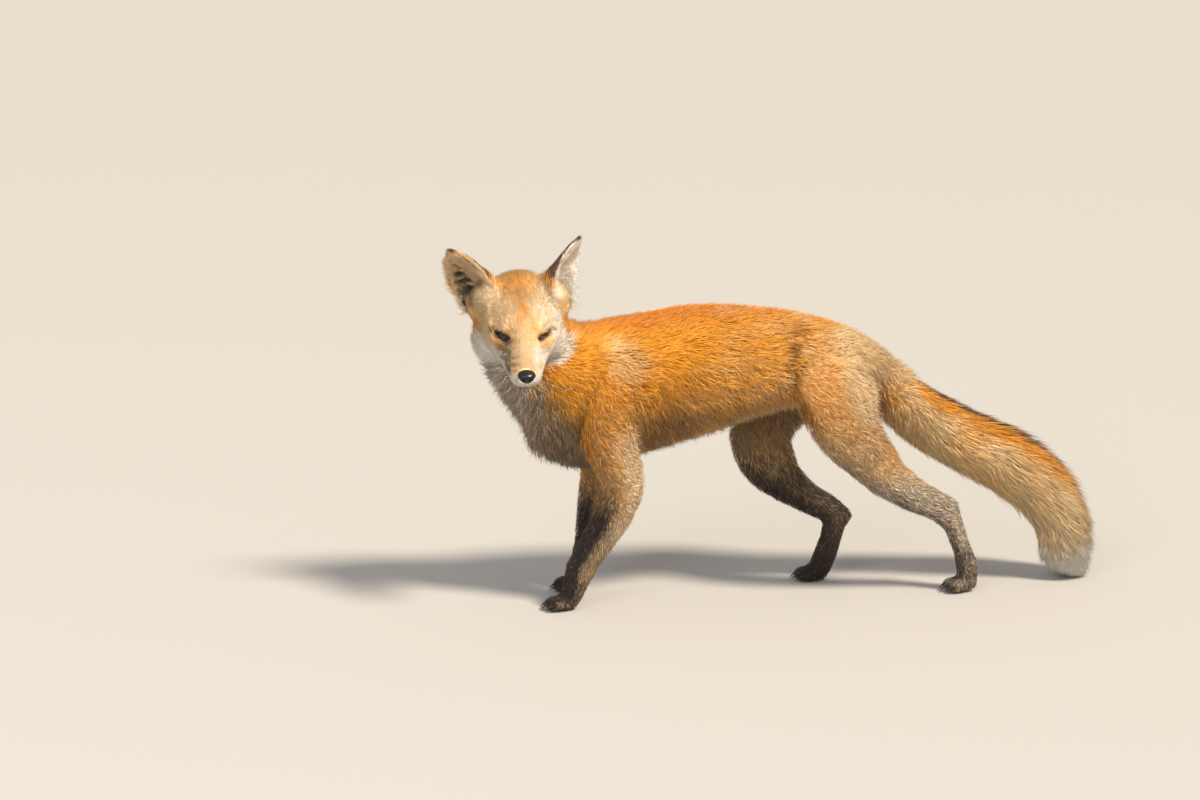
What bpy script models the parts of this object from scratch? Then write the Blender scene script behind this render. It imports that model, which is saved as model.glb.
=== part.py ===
"""A red fox, life size, standing in mid step with its head turned to its left.

Metres, +Z up. The fox faces -X, its left side faces -Y, and it stands on z = 0. The solids
hold the coat too: they reach out to the tips of the hair.

How it is made: each mass of the body is a loft through oval stations, or an ellipsoid. A
voxel remesh melts the lofts of one mass together, so that there are six masses: the head,
the back from neck to tail, and four legs. The head and legs are sunk into the back, each in
a socket of its own shape, and thin round blades part the masses at the joints. Ears, eyes,
nose pad and claws are sunk in the same way.
"""

import math
from typing import NamedTuple

import bmesh
import bpy
from mathutils import Matrix, Vector

GAP = 0.0003  # the clearance between two pieces that touch
BACK_VOXEL = 0.0035
LEG_VOXEL = 0.0022
HEAD_VOXEL = 0.0018
BACK_TRIANGLES = 1150
LEG_TRIANGLES = 380
HEAD_TRIANGLES = 1000

SKULL = Vector((-0.2925, -0.040, 0.359))  # the middle of the braincase
HEADING = math.radians(-94.5)  # where the muzzle points, seen from above
PITCH = math.radians(19)  # the muzzle drops

EAR_LENGTH = 0.092
EAR_WIDTH = 0.052
EAR_THICKNESS = 0.0045
# Side, and the ear's splay, lean and swivel in degrees.
EARS = (("left", 19, 12, 50), ("right", 28, 0, 20))
EYE_RADIUS = 0.0092
LID_LENGTH = 0.024  # from corner to corner of the eye, screwed up against the light
LID_OPENING = 0.0048
LID_SLANT = 14  # degrees; the inner corner is the lower one
PAW_LENGTH = 0.052
PAW_WIDTH = 0.038
CLAW_LENGTH = 0.012

BACK_SIDE = (0.0, 1.0, 0.0)
SIDES = {"left": -1, "right": 1}  # the sign of y on each side of the body


class Station(NamedTuple):
    """One oval section of a loft: its centre, and its half sizes sideways, up and down.

    On a leg, whose loft runs down to the paw, up is backwards and down is forwards.
    """

    x: float
    y: float
    z: float
    wide: float
    up: float
    down: float


# Ridge and belly lines of the trunk: x, top z, bottom z, half width.
TRUNK_LINES = (
    (-0.266, 0.285, 0.215, 0.022),
    (-0.245, 0.325, 0.189, 0.040),
    (-0.215, 0.352, 0.175, 0.052),
    (-0.170, 0.364, 0.181, 0.063),
    (-0.120, 0.370, 0.196, 0.067),
    (-0.060, 0.376, 0.211, 0.067),
    (-0.005, 0.373, 0.227, 0.061),
    (0.035, 0.367, 0.237, 0.054),
    (0.080, 0.357, 0.240, 0.050),
    (0.120, 0.343, 0.246, 0.050),
    (0.150, 0.325, 0.255, 0.044),
    (0.175, 0.300, 0.265, 0.030),
)
TRUNK = [
    Station(x, 0, (top + low) / 2, wide, (top - low) / 2, (top - low) / 2)
    for x, top, low, wide in TRUNK_LINES
]
NECK = [
    Station(-0.296, -0.020, 0.350, 0.044, 0.040, 0.054),
    Station(-0.280, 0.004, 0.330, 0.050, 0.050, 0.072),
    Station(-0.242, 0.006, 0.302, 0.055, 0.066, 0.090),
    Station(-0.200, 0.000, 0.268, 0.058, 0.086, 0.098),
    Station(-0.155, 0.000, 0.264, 0.054, 0.080, 0.078),
]
TAIL = [
    Station(0.135, 0, 0.312, 0.022, 0.022, 0.022),
    Station(0.160, 0, 0.290, 0.027, 0.027, 0.028),
    Station(0.186, 0, 0.257, 0.033, 0.033, 0.034),
    Station(0.225, 0, 0.221, 0.039, 0.040, 0.038),
    Station(0.283, 0, 0.186, 0.043, 0.044, 0.042),
    Station(0.328, 0, 0.161, 0.045, 0.047, 0.043),
    Station(0.370, 0, 0.129, 0.044, 0.046, 0.042),
    Station(0.398, 0, 0.092, 0.041, 0.042, 0.037),
    Station(0.411, 0, 0.059, 0.036, 0.036, 0.034),
    Station(0.420, 0, 0.036, 0.029, 0.029, 0.028),
    Station(0.429, 0, 0.017, 0.019, 0.018, 0.018),
    Station(0.4345, 0, 0.005, 0.009, 0.009, 0.009),
]
# In the head's own axes: x forward, y to its left, z up, from the middle of the braincase.
HEAD = [
    Station(-0.060, 0, -0.002, 0.030, 0.028, 0.030),
    Station(-0.045, 0, 0.003, 0.045, 0.042, 0.042),
    Station(-0.022, 0, 0.006, 0.053, 0.050, 0.048),
    Station(0.004, 0, 0.004, 0.052, 0.044, 0.047),
    Station(0.024, 0, 0.000, 0.045, 0.034, 0.041),
    Station(0.040, 0, -0.004, 0.0365, 0.0245, 0.034),
    Station(0.054, 0, -0.0085, 0.0295, 0.0175, 0.0265),
    Station(0.068, 0, -0.0115, 0.0250, 0.0140, 0.0210),
    Station(0.082, 0, -0.0135, 0.0220, 0.0125, 0.0195),
    Station(0.093, 0, -0.0150, 0.0180, 0.0110, 0.0165),
    Station(0.0985, 0, -0.0160, 0.0130, 0.0085, 0.0110),
]
# Each leg with y as a distance from the middle of the body, and the middle of its paw.
LEGS = {
    "foreleg_left": [
        Station(-0.150, 0.036, 0.318, 0.018, 0.030, 0.030),
        Station(-0.178, 0.047, 0.275, 0.026, 0.038, 0.036),
        Station(-0.186, 0.052, 0.225, 0.028, 0.040, 0.036),
        Station(-0.172, 0.053, 0.180, 0.026, 0.031, 0.030),
        Station(-0.166, 0.052, 0.152, 0.024, 0.0265, 0.0265),
        Station(-0.181, 0.050, 0.116, 0.021, 0.0255, 0.0255),
        Station(-0.2005, 0.048, 0.085, 0.0185, 0.0225, 0.0235),
        Station(-0.2165, 0.046, 0.055, 0.0175, 0.0190, 0.0220),
        Station(-0.2255, 0.044, 0.030, 0.0170, 0.0165, 0.019),
        Station(-0.231, 0.043, 0.014, 0.0150, 0.014, 0.016),
    ],
    "foreleg_right": [
        Station(-0.150, 0.036, 0.318, 0.018, 0.030, 0.030),
        Station(-0.178, 0.047, 0.275, 0.026, 0.038, 0.036),
        Station(-0.184, 0.052, 0.225, 0.028, 0.040, 0.036),
        Station(-0.176, 0.053, 0.190, 0.026, 0.031, 0.032),
        Station(-0.174, 0.052, 0.163, 0.024, 0.0265, 0.0285),
        Station(-0.183, 0.050, 0.122, 0.021, 0.0240, 0.0240),
        Station(-0.1885, 0.048, 0.088, 0.0185, 0.0210, 0.0215),
        Station(-0.193, 0.046, 0.055, 0.0175, 0.0195, 0.0200),
        Station(-0.200, 0.044, 0.030, 0.0170, 0.0175, 0.0185),
        Station(-0.205, 0.043, 0.014, 0.0150, 0.014, 0.016),
    ],
    "hindleg_left": [
        Station(0.118, 0.030, 0.315, 0.024, 0.036, 0.042),
        Station(0.103, 0.044, 0.278, 0.030, 0.056, 0.058),
        Station(0.114, 0.053, 0.232, 0.031, 0.048, 0.049),
        Station(0.128, 0.056, 0.206, 0.029, 0.040, 0.042),
        Station(0.150, 0.056, 0.180, 0.0255, 0.033, 0.035),
        Station(0.170, 0.054, 0.156, 0.022, 0.0275, 0.029),
        Station(0.207, 0.051, 0.130, 0.0185, 0.0225, 0.0235),
        Station(0.240, 0.049, 0.1105, 0.0165, 0.021, 0.019),
        Station(0.2575, 0.047, 0.0885, 0.0145, 0.0145, 0.0145),
        Station(0.268, 0.046, 0.061, 0.0140, 0.0128, 0.013),
        Station(0.2765, 0.045, 0.036, 0.0155, 0.0155, 0.0155),
        Station(0.280, 0.044, 0.016, 0.0155, 0.014, 0.016),
    ],
    "hindleg_right": [
        Station(0.112, 0.030, 0.312, 0.024, 0.038, 0.042),
        Station(0.080, 0.044, 0.275, 0.030, 0.055, 0.055),
        Station(0.050, 0.053, 0.235, 0.031, 0.048, 0.050),
        Station(0.033, 0.056, 0.205, 0.030, 0.043, 0.044),
        Station(0.031, 0.056, 0.178, 0.0275, 0.041, 0.040),
        Station(0.0445, 0.055, 0.150, 0.0245, 0.036, 0.037),
        Station(0.0665, 0.053, 0.125, 0.0205, 0.026, 0.027),
        Station(0.098, 0.050, 0.102, 0.0175, 0.0205, 0.020),
        Station(0.1235, 0.047, 0.086, 0.016, 0.0185, 0.017),
        Station(0.1225, 0.046, 0.062, 0.0145, 0.0150, 0.0150),
        Station(0.1140, 0.045, 0.034, 0.0155, 0.0155, 0.0155),
        Station(0.107, 0.044, 0.016, 0.0155, 0.014, 0.016),
    ],
}
PAW_AHEAD = 0.010  # from the end of the leg's loft to the middle of the paw
HEEL_RADIUS = 0.0125
HEELS = {  # the point of the hock
    "hindleg_left": Vector((0.2535, 0.049, 0.112)),
    "hindleg_right": Vector((0.1375, 0.047, 0.083)),
}
# Where each leg is parted: the station that the blade passes through.
ELBOW, WRIST = 4, 7
KNEE, HOCK = 4, 7
LEG_PARTS = {
    "foreleg": (("arm", "forearm", "paw"), (ELBOW, WRIST)),
    "hindleg": (("thigh", "shank", "foot"), (KNEE, HOCK)),
}


def catmull(a, b, c, d, t):
    """The value at t between b and c on a curve that passes through all four in turn."""
    slope_b, slope_c = (c - a) / 2, (d - b) / 2
    return (
        b * (2 * t**3 - 3 * t**2 + 1)
        + slope_b * (t**3 - 2 * t**2 + t)
        + c * (3 * t**2 - 2 * t**3)
        + slope_c * (t**3 - t**2)
    )


def drawn_through(stations, steps):
    """The stations, with steps - 1 more between each pair on a smooth curve."""
    padded = [stations[0], *stations, stations[-1]]
    rings = []
    for four in zip(padded, padded[1:], padded[2:], padded[3:]):
        for k in range(steps):
            rings.append(Station(*(catmull(*values, k / steps) for values in zip(*four))))
    return [*rings, stations[-1]]


def direction_at(stations, index):
    """The way that the loft runs at one of its stations."""
    before = Vector(stations[max(index - 1, 0)][:3])
    after = Vector(stations[min(index + 1, len(stations) - 1)][:3])
    return (after - before).normalized()


def add_loft(bm, stations, place=Matrix(), side=BACK_SIDE, sides=20, steps=4):
    """Adds a closed skin through oval rings, with side as the sideways direction."""
    rings = drawn_through(stations, steps)
    loops = []
    for index, ring in enumerate(rings):
        ahead = direction_at(rings, index)
        up = ahead.cross(Vector(side)).normalized()
        across = up.cross(ahead)
        circle = bmesh.ops.create_circle(bm, segments=sides, radius=1.0)["verts"]
        loops.append(list({edge for vert in circle for edge in vert.link_edges}))
        for vert in circle:
            rise = ring.up if vert.co.y > 0 else ring.down
            offset = across * ring.wide * vert.co.x + up * rise * vert.co.y
            vert.co = place @ (Vector(ring[:3]) + offset)
    for first, second in zip(loops, loops[1:]):
        bmesh.ops.bridge_loops(bm, edges=first + second)
    for end in (loops[0], loops[-1]):
        bmesh.ops.contextual_create(bm, geom=end)


def add_ball(bm, centre, radii, place=Matrix(), subdivisions=3):
    """Adds an ellipsoid."""
    shape = place @ Matrix.Translation(centre) @ Matrix.Diagonal((*radii, 1.0))
    bmesh.ops.create_icosphere(bm, subdivisions=subdivisions, radius=1.0, matrix=shape)


def object_from(bm, name, collection):
    """Turns a bmesh into a named object of triangles, with its faces pointing out."""
    bmesh.ops.recalc_face_normals(bm, faces=bm.faces)
    bmesh.ops.triangulate(bm, faces=bm.faces)
    mesh = bpy.data.meshes.new(name)
    bm.to_mesh(mesh)
    bm.free()
    made = bpy.data.objects.new(name, mesh)
    collection.objects.link(made)
    return made


def apply_modifiers(made):
    """Replaces the object's mesh with what its modifiers make of it."""
    bpy.context.view_layer.update()
    graph = bpy.context.evaluated_depsgraph_get()
    made.data = bpy.data.meshes.new_from_object(made.evaluated_get(graph))
    made.modifiers.clear()


def melt(made, voxel, triangles):
    """Melts the object's overlapping skins into one, smooths it and thins it out."""
    remesh = made.modifiers.new("melt", "REMESH")
    remesh.mode = "VOXEL"
    remesh.voxel_size = voxel
    smooth = made.modifiers.new("smooth", "SMOOTH")
    smooth.factor = 0.5
    smooth.iterations = 6
    apply_modifiers(made)
    faces_now = 2 * len(made.data.polygons)
    thin = made.modifiers.new("thin", "DECIMATE")
    thin.ratio = triangles / faces_now
    made.modifiers.new("flat_faces", "TRIANGULATE")
    apply_modifiers(made)


def sink(inner, *outers, cutters):
    """Cuts a socket for the inner piece, with clearance, into each outer one."""
    cutter = bpy.data.objects.new(inner.name + "_socket", inner.data.copy())
    cutters.objects.link(cutter)
    swell = cutter.modifiers.new("clearance", "DISPLACE")
    swell.strength = GAP
    swell.mid_level = 0.0
    apply_modifiers(cutter)
    cut_away(cutter, *outers)


def cut_away(cutter, *outers):
    """Takes the cutter's space out of each object."""
    cutter.hide_render = True
    cutter.display_type = "WIRE"
    for outer in outers:
        cut = outer.modifiers.new("cut", "BOOLEAN")
        cut.operation = "DIFFERENCE"
        cut.object = cutter
        apply_modifiers(outer)


def part_at_blades(mass, blades, names, cutters):
    """Parts an object with thin round blades, each (centre, direction, radius).

    names gives each part's name by a point near that part's middle.
    """
    bm = bmesh.new()
    for centre, direction, radius in blades:
        turn = direction.to_track_quat("Z", "Y").to_matrix().to_4x4()
        bmesh.ops.create_cone(
            bm,
            cap_ends=True,
            segments=32,
            radius1=radius,
            radius2=radius,
            depth=GAP,
            matrix=Matrix.Translation(centre) @ turn,
        )
    cut_away(object_from(bm, mass.name + "_blades", cutters), mass)
    bpy.ops.object.select_all(action="DESELECT")
    mass.select_set(True)
    bpy.context.view_layer.objects.active = mass
    bpy.ops.mesh.separate(type="LOOSE")
    pieces = {}
    for piece in list(bpy.context.selected_objects):
        corners = [Vector(corner) for corner in piece.bound_box]
        middle = sum(corners, Vector()) / len(corners)
        name = min(names, key=lambda known: (names[known] - middle).length)
        assert name not in pieces, f"the blades leave {name} in more than one piece"
        piece.name = piece.data.name = name
        pieces[name] = piece
    assert len(pieces) == len(names), f"{mass.name} was not parted everywhere"
    return pieces


def head_axes():
    """The matrix from the head's own axes to the fox's."""
    return (
        Matrix.Translation(SKULL)
        @ Matrix.Rotation(HEADING, 4, "Z")
        @ Matrix.Rotation(PITCH, 4, "Y")
    )


def make_head(parts):
    """The skull, muzzle, cheeks and brow, with the hair of the crown and the cheek ruffs."""
    bm = bmesh.new()
    place = head_axes()
    side = place.to_3x3().inverted() @ place.to_3x3() @ Vector(BACK_SIDE)
    add_loft(bm, HEAD, place, side)
    add_ball(bm, (-0.030, 0, 0.042), (0.030, 0.036, 0.019), place)  # crown
    add_ball(bm, (0.002, 0, -0.034), (0.036, 0.028, 0.018), place)  # throat
    for sign in SIDES.values():
        add_ball(bm, (-0.010, sign * 0.036, -0.018), (0.030, 0.027, 0.033), place)  # cheek
        add_ball(bm, (0.022, sign * 0.020, 0.022), (0.017, 0.014, 0.011), place)  # brow
        add_ball(bm, (-0.020, sign * 0.034, 0.032), (0.024, 0.024, 0.024), place)  # ear root
        add_ball(bm, (-0.032, sign * 0.036, 0.008), (0.028, 0.028, 0.036), place)  # nape
    head = object_from(bm, "head", parts)
    melt(head, HEAD_VOXEL, HEAD_TRIANGLES)
    return head


def ear_half_width(height):
    """Half the ear's width at a height from 0, its root, to 1, its tip."""
    root = 0.84 + 0.16 * min(1, height / 0.25)
    return EAR_WIDTH / 2 * root * (1 - height**2.6) ** 0.75


def make_ear(parts, side, splay, lean, swivel):
    """A cupped ear: a sheet that wraps round at the root and opens out to a rounded tip.

    It is tipped outwards by splay and backwards by lean, and its opening is turned outwards
    by swivel.
    """
    sign = SIDES[side]
    root_wrap, tip_wrap = math.radians(105), math.radians(42)
    tip_height = 0.985
    bm = bmesh.new()
    sheet = bmesh.ops.create_grid(bm, x_segments=6, y_segments=6, size=1.0)["verts"]
    for vert in sheet:
        across, height = vert.co.x, (vert.co.y + 1) / 2 * tip_height
        wrap = root_wrap + (tip_wrap - root_wrap) * height
        half = ear_half_width(height)
        cup = half * (1.20 - 0.75 * height)
        sideways = half * math.sin(across * wrap) / math.sin(min(wrap, math.pi / 2))
        vert.co = (-cup * math.cos(across * wrap), sideways, height * EAR_LENGTH)
    place = (
        head_axes()
        @ Matrix.Translation((-0.020, -sign * 0.046, 0.023))
        @ Matrix.Rotation(math.radians(sign * splay), 4, "X")
        @ Matrix.Rotation(math.radians(-lean), 4, "Y")
        @ Matrix.Rotation(math.radians(-sign * swivel), 4, "Z")
    )
    bmesh.ops.transform(bm, matrix=place, verts=bm.verts)
    ear = object_from(bm, "ear_" + side, parts)
    wall = ear.modifiers.new("wall", "SOLIDIFY")
    wall.thickness = EAR_THICKNESS
    wall.offset = 0.0
    ear.modifiers.new("flat_faces", "TRIANGULATE")
    apply_modifiers(ear)
    return ear


def eye_axes(side):
    """The matrix from an eye's own axes, x looking out and y along the lids, to the fox's."""
    sign = SIDES[side]
    return (
        head_axes()
        @ Matrix.Translation((0.0295, -sign * 0.0215, 0.0096))
        @ Matrix.Rotation(math.radians(-sign * 31), 4, "Z")
        @ Matrix.Rotation(math.radians(-22), 4, "Y")
        @ Matrix.Rotation(math.radians(-sign * LID_SLANT), 4, "X")
    )


def make_eye(parts, side):
    """The eyeball."""
    bm = bmesh.new()
    add_ball(bm, (0, 0, 0), (EYE_RADIUS,) * 3, eye_axes(side), subdivisions=2)
    return object_from(bm, "eye_" + side, parts)


def part_lids(head, side, cutters):
    """Opens the narrow slit between the lids, in to the eyeball."""
    bm = bmesh.new()
    half_sizes = (0.012, LID_LENGTH / 2, LID_OPENING / 2)
    add_ball(bm, (EYE_RADIUS + 0.004, 0, 0), half_sizes, eye_axes(side), subdivisions=3)
    cut_away(object_from(bm, "lids_" + side, cutters), head)


def make_nose(parts):
    """The bare nose pad at the front of the muzzle."""
    bm = bmesh.new()
    add_ball(bm, (0.0955, 0, -0.0085), (0.0095, 0.0115, 0.0085), head_axes(), subdivisions=2)
    return object_from(bm, "nose", parts)


def make_back(parts):
    """Neck, trunk and tail in one piece."""
    bm = bmesh.new()
    for stations in (TRUNK, NECK, TAIL):
        add_loft(bm, stations)
    back = object_from(bm, "back", parts)
    melt(back, BACK_VOXEL, BACK_TRIANGLES)
    return back


def toe_places():
    """Each toe's middle, ahead of and beside the middle of the paw."""
    for slot in (-1.5, -0.5, 0.5, 1.5):
        yield PAW_LENGTH * (0.32 - 0.09 * abs(slot)), slot * PAW_WIDTH * 0.25


def paw_middle(leg):
    """The middle of a leg's paw, on the floor."""
    sign = SIDES[leg.rpartition("_")[2]]
    last = LEGS[leg][-1]
    return Vector((last.x - PAW_AHEAD, sign * last.y, 0))


def make_leg(parts, leg):
    """One leg from the shoulder or hip to the toes."""
    sign = SIDES[leg.rpartition("_")[2]]
    flip = Matrix.Diagonal((1, sign, 1, 1))
    bm = bmesh.new()
    add_loft(bm, LEGS[leg], flip)
    if leg in HEELS:
        add_ball(bm, flip @ HEELS[leg], (HEEL_RADIUS,) * 3)
    middle = paw_middle(leg)
    sole = Vector((PAW_LENGTH * 0.08, 0, 0.010))
    add_ball(bm, middle + sole, (PAW_LENGTH * 0.36, PAW_WIDTH * 0.42, 0.0125))
    for ahead, beside in toe_places():
        toe = middle + Vector((-ahead, beside, 0.0085))
        add_ball(bm, toe, (PAW_LENGTH * 0.22, PAW_WIDTH * 0.155, 0.0105))
    made = object_from(bm, leg, parts)
    melt(made, LEG_VOXEL, LEG_TRIANGLES)
    return made


def make_claws(parts, leg):
    """Four short curved claws at the ends of the toes."""
    claws = []
    for number, (ahead, beside) in enumerate(toe_places(), start=1):
        tip = paw_middle(leg) + Vector((-ahead - PAW_LENGTH * 0.27, beside, 0.0035))
        bm = bmesh.new()
        curve = []
        for t, radius in ((0.0, 0.0016), (0.6, 0.0013), (1.0, 0.0003)):
            x = tip.x + CLAW_LENGTH * (1 - t)
            z = tip.z + 0.006 * math.sqrt(1 - t**2)
            curve.append(Station(x, tip.y, z, radius, radius, radius))
        add_loft(bm, curve, sides=6, steps=1)
        claws.append(object_from(bm, f"claw_{leg}_{number}", parts))
    return claws


def level_sole(piece, cutters):
    """Cuts the piece off flat at the floor."""
    bm = bmesh.new()
    depth = 0.05
    floor = Matrix.Translation((0, 0, -depth / 2)) @ Matrix.Diagonal((2, 2, depth, 1))
    bmesh.ops.create_cube(bm, size=1.0, matrix=floor)
    cut_away(object_from(bm, piece.name + "_floor", cutters), piece)


def colour(piece, name, rgb, roughness):
    """Gives the piece a plain material."""
    material = bpy.data.materials.get(name) or bpy.data.materials.new(name)
    material.use_nodes = True
    shader = material.node_tree.nodes["Principled BSDF"]
    shader.inputs["Base Color"].default_value = (*rgb, 1.0)
    shader.inputs["Roughness"].default_value = roughness
    shader.inputs["Metallic"].default_value = 0.0
    piece.data.materials.clear()
    piece.data.materials.append(material)


def finish(piece):
    """Colours the piece by its name and shades its round faces smooth."""
    name = piece.name
    if name.startswith("eye"):
        colour(piece, "eye", (0.05, 0.03, 0.02), 0.1)
    elif name.startswith("claw"):
        colour(piece, "claw", (0.06, 0.05, 0.04), 0.4)
    elif name == "nose":
        colour(piece, "nose_leather", (0.02, 0.02, 0.02), 0.35)
    elif name == "tail_tip":
        colour(piece, "white_hair", (0.80, 0.74, 0.66), 0.9)
    elif any(word in name for word in ("forearm", "paw", "shank", "foot")):
        colour(piece, "stocking_hair", (0.16, 0.11, 0.09), 0.9)
    else:
        colour(piece, "red_hair", (0.62, 0.26, 0.07), 0.9)
    piece.data.shade_smooth()
    piece.data.set_sharp_from_angle(angle=math.radians(40))


def midway(stations, first, last):
    """The point halfway between two stations."""
    return (Vector(stations[first][:3]) + Vector(stations[last][:3])) / 2


def stand_on_origin(pieces):
    """Moves the fox so that the origin is at the middle of its box's underside."""
    corners = [Vector(corner) for piece in pieces for corner in piece.bound_box]
    low = Vector(min(corner[axis] for corner in corners) for axis in range(3))
    high = Vector(max(corner[axis] for corner in corners) for axis in range(3))
    shift = Matrix.Translation((-(low.x + high.x) / 2, -(low.y + high.y) / 2, -low.z))
    for piece in pieces:
        piece.data.transform(shift)


def main():
    for thing in list(bpy.data.objects):
        bpy.data.objects.remove(thing)
    parts = bpy.data.collections.new("red_fox")
    cutters = bpy.data.collections.new("cutters")
    bpy.context.scene.collection.children.link(parts)
    bpy.context.scene.collection.children.link(cutters)
    cutters.hide_render = True

    head = make_head(parts)
    back = make_back(parts)
    legs = {name: make_leg(parts, name) for name in LEGS}
    for mass in (head, *legs.values()):
        sink(mass, back, cutters=cutters)
    nodes = [head]
    for piece in (
        make_ear(parts, *EARS[0]),
        make_ear(parts, *EARS[1]),
        make_eye(parts, "left"),
        make_eye(parts, "right"),
        make_nose(parts),
    ):
        sink(piece, head, cutters=cutters)
        nodes.append(piece)
    for side in SIDES:
        part_lids(head, side, cutters)

    back_blades = [
        (Vector((-0.215, 0, 0.285)), Vector((-0.8, 0, 0.6)), 0.115),
        (Vector(TAIL[2][:3]), direction_at(TAIL, 2), 0.065),
        (Vector(TAIL[4][:3]), direction_at(TAIL, 4), 0.060),
        (Vector(TAIL[7][:3]), direction_at(TAIL, 7), 0.060),
    ]
    back_names = {
        "neck": midway(NECK, 0, 3),
        "trunk": midway(TRUNK, 3, 9),
        "tail_root": midway(TAIL, 2, 4),
        "tail_middle": midway(TAIL, 4, 7),
        "tail_tip": midway(TAIL, 7, 11),
    }
    nodes += part_at_blades(back, back_blades, back_names, cutters).values()

    for leg, mass in legs.items():
        kind, side = leg.split("_")
        flip = Matrix.Diagonal((1, SIDES[side], 1, 1))
        stations = [Station(*(flip @ Vector(s[:3])), *s[3:]) for s in LEGS[leg]]
        words, joints = LEG_PARTS[kind]
        ends = (0, *joints, len(stations) - 1)
        names = {
            f"{leg}_{word}": midway(stations, *span)
            for word, span in zip(words, zip(ends, ends[1:]))
        }
        blades = [
            (Vector(stations[joint][:3]), direction_at(stations, joint), 0.048)
            for joint in joints
        ]
        claws = make_claws(parts, leg)
        pieces = part_at_blades(mass, blades, names, cutters)
        foot = pieces[f"{leg}_{words[2]}"]
        level_sole(foot, cutters)
        for claw in claws:
            sink(claw, foot, cutters=cutters)
        nodes += [*pieces.values(), *claws]

    stand_on_origin(nodes)
    for piece in nodes:
        finish(piece)


main()
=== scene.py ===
# %% [markdown]
# # A red fox in its summer coat
#
# The fox stands in mid step with its head turned to its left, as a museum would show it.
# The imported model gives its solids, which reach out to the tips of the hair. Here one skin
# takes the place of all the nodes of flesh, sunk below them by the depth of the coat, and
# hair grows from the skin back out to the solids' outline. Hair could be made with Blender's
# hair curves, but a model that leaves Blender keeps only meshes, so each lock is a thin
# closed spindle of six faces, and a few hundred thousand of them make the coat.

# %% The frame that everything is built around
import heapq
import math
import time

import bmesh
import bpy
import numpy as np
from mathutils import Matrix, Vector
from mathutils.bvhtree import BVHTree
from mathutils.kdtree import KDTree


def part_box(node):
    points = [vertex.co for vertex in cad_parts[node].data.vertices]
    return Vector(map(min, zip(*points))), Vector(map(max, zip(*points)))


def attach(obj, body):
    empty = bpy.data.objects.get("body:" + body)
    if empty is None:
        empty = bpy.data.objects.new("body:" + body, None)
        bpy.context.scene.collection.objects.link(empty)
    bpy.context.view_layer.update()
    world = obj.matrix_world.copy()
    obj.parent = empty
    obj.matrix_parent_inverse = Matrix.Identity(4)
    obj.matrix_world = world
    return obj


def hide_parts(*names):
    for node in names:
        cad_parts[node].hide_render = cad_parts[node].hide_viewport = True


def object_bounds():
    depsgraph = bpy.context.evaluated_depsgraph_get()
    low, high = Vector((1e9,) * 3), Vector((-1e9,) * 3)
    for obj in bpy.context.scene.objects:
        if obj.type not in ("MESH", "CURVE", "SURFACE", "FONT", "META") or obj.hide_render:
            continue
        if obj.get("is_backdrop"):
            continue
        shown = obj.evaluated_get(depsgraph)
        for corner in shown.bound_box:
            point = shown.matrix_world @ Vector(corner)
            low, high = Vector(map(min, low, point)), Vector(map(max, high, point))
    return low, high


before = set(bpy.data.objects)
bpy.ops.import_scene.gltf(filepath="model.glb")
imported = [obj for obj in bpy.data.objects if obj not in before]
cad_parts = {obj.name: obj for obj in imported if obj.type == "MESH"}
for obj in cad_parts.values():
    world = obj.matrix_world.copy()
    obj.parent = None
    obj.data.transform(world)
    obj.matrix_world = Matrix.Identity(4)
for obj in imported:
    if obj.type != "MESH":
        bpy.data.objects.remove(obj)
cad_low, cad_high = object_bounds()
MM = 0.001
started = time.perf_counter()


def say(words):
    """Prints what a cell made, and how many seconds into the script it was."""
    print(f"[{time.perf_counter() - started:5.1f} s] {words}")


say(f"{len(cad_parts)} solids, {(cad_high - cad_low).x / MM:.0f} mm from nose to tail")

# %% [markdown]
# ## The view
#
# The camera looks down a little on the fox from its left side, as somebody standing a few
# metres away does, so a long lens keeps the near and far legs in proportion. Its place is
# worked out from two angles and a distance instead of being typed in, which keeps the
# direction easy to change.

# %% The camera
AZIMUTH, ELEVATION = math.radians(-10), math.radians(13)
DISTANCE = 6.0
LENS = 142.2
AIM = Vector((-0.2027, 0.1112, 0.2368))

towards_camera = Vector((
    math.sin(AZIMUTH) * math.cos(ELEVATION),
    -math.cos(AZIMUTH) * math.cos(ELEVATION),
    math.sin(ELEVATION),
))
camera_data = bpy.data.cameras.new("camera")
camera_data.lens = LENS
camera_data.sensor_width = 36  # mm, a full-frame sensor
camera = bpy.data.objects.new("camera", camera_data)
camera.location = AIM + towards_camera * DISTANCE
camera.rotation_euler = towards_camera.to_track_quat("Z", "Y").to_euler()
bpy.context.scene.collection.objects.link(camera)
bpy.context.scene.camera = camera
say(f"camera at {tuple(round(c, 2) for c in camera.location)}")

# %% [markdown]
# ## Colours and nodes
#
# Colours are easiest to compare as the hex values that paint charts use, but a shader works
# in linear light, so one function turns one into the other. A second small function adds a
# node with its settings and its links in one line, which keeps a material short to read.


# %% Two helpers for materials
def linear(hex_colour):
    """The linear colour, with alpha, of an sRGB hex value."""
    parts = [int(hex_colour[i:i + 2], 16) / 255 for i in (0, 2, 4)]
    return tuple(c / 12.92 if c <= 0.04045 else ((c + 0.055) / 1.055) ** 2.4 for c in parts) + (1,)


def connect(material, socket, value):
    """Sets a socket to a value, or links it from another node's output."""
    if isinstance(value, bpy.types.NodeSocket):
        material.node_tree.links.new(value, socket)
    else:
        socket.default_value = value


def add(material, kind, settings=None, **inputs):
    """Adds a node. An input is a value, or another node's output to link from."""
    node = material.node_tree.nodes.new(kind)
    for name, value in (settings or {}).items():
        setattr(node, name, value)
    for name, value in inputs.items():
        key = int(name[1:]) if name[0] == "i" and name[1:].isdigit() else name.replace("_", " ")
        connect(material, node.inputs[key], value)
    return node


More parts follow.
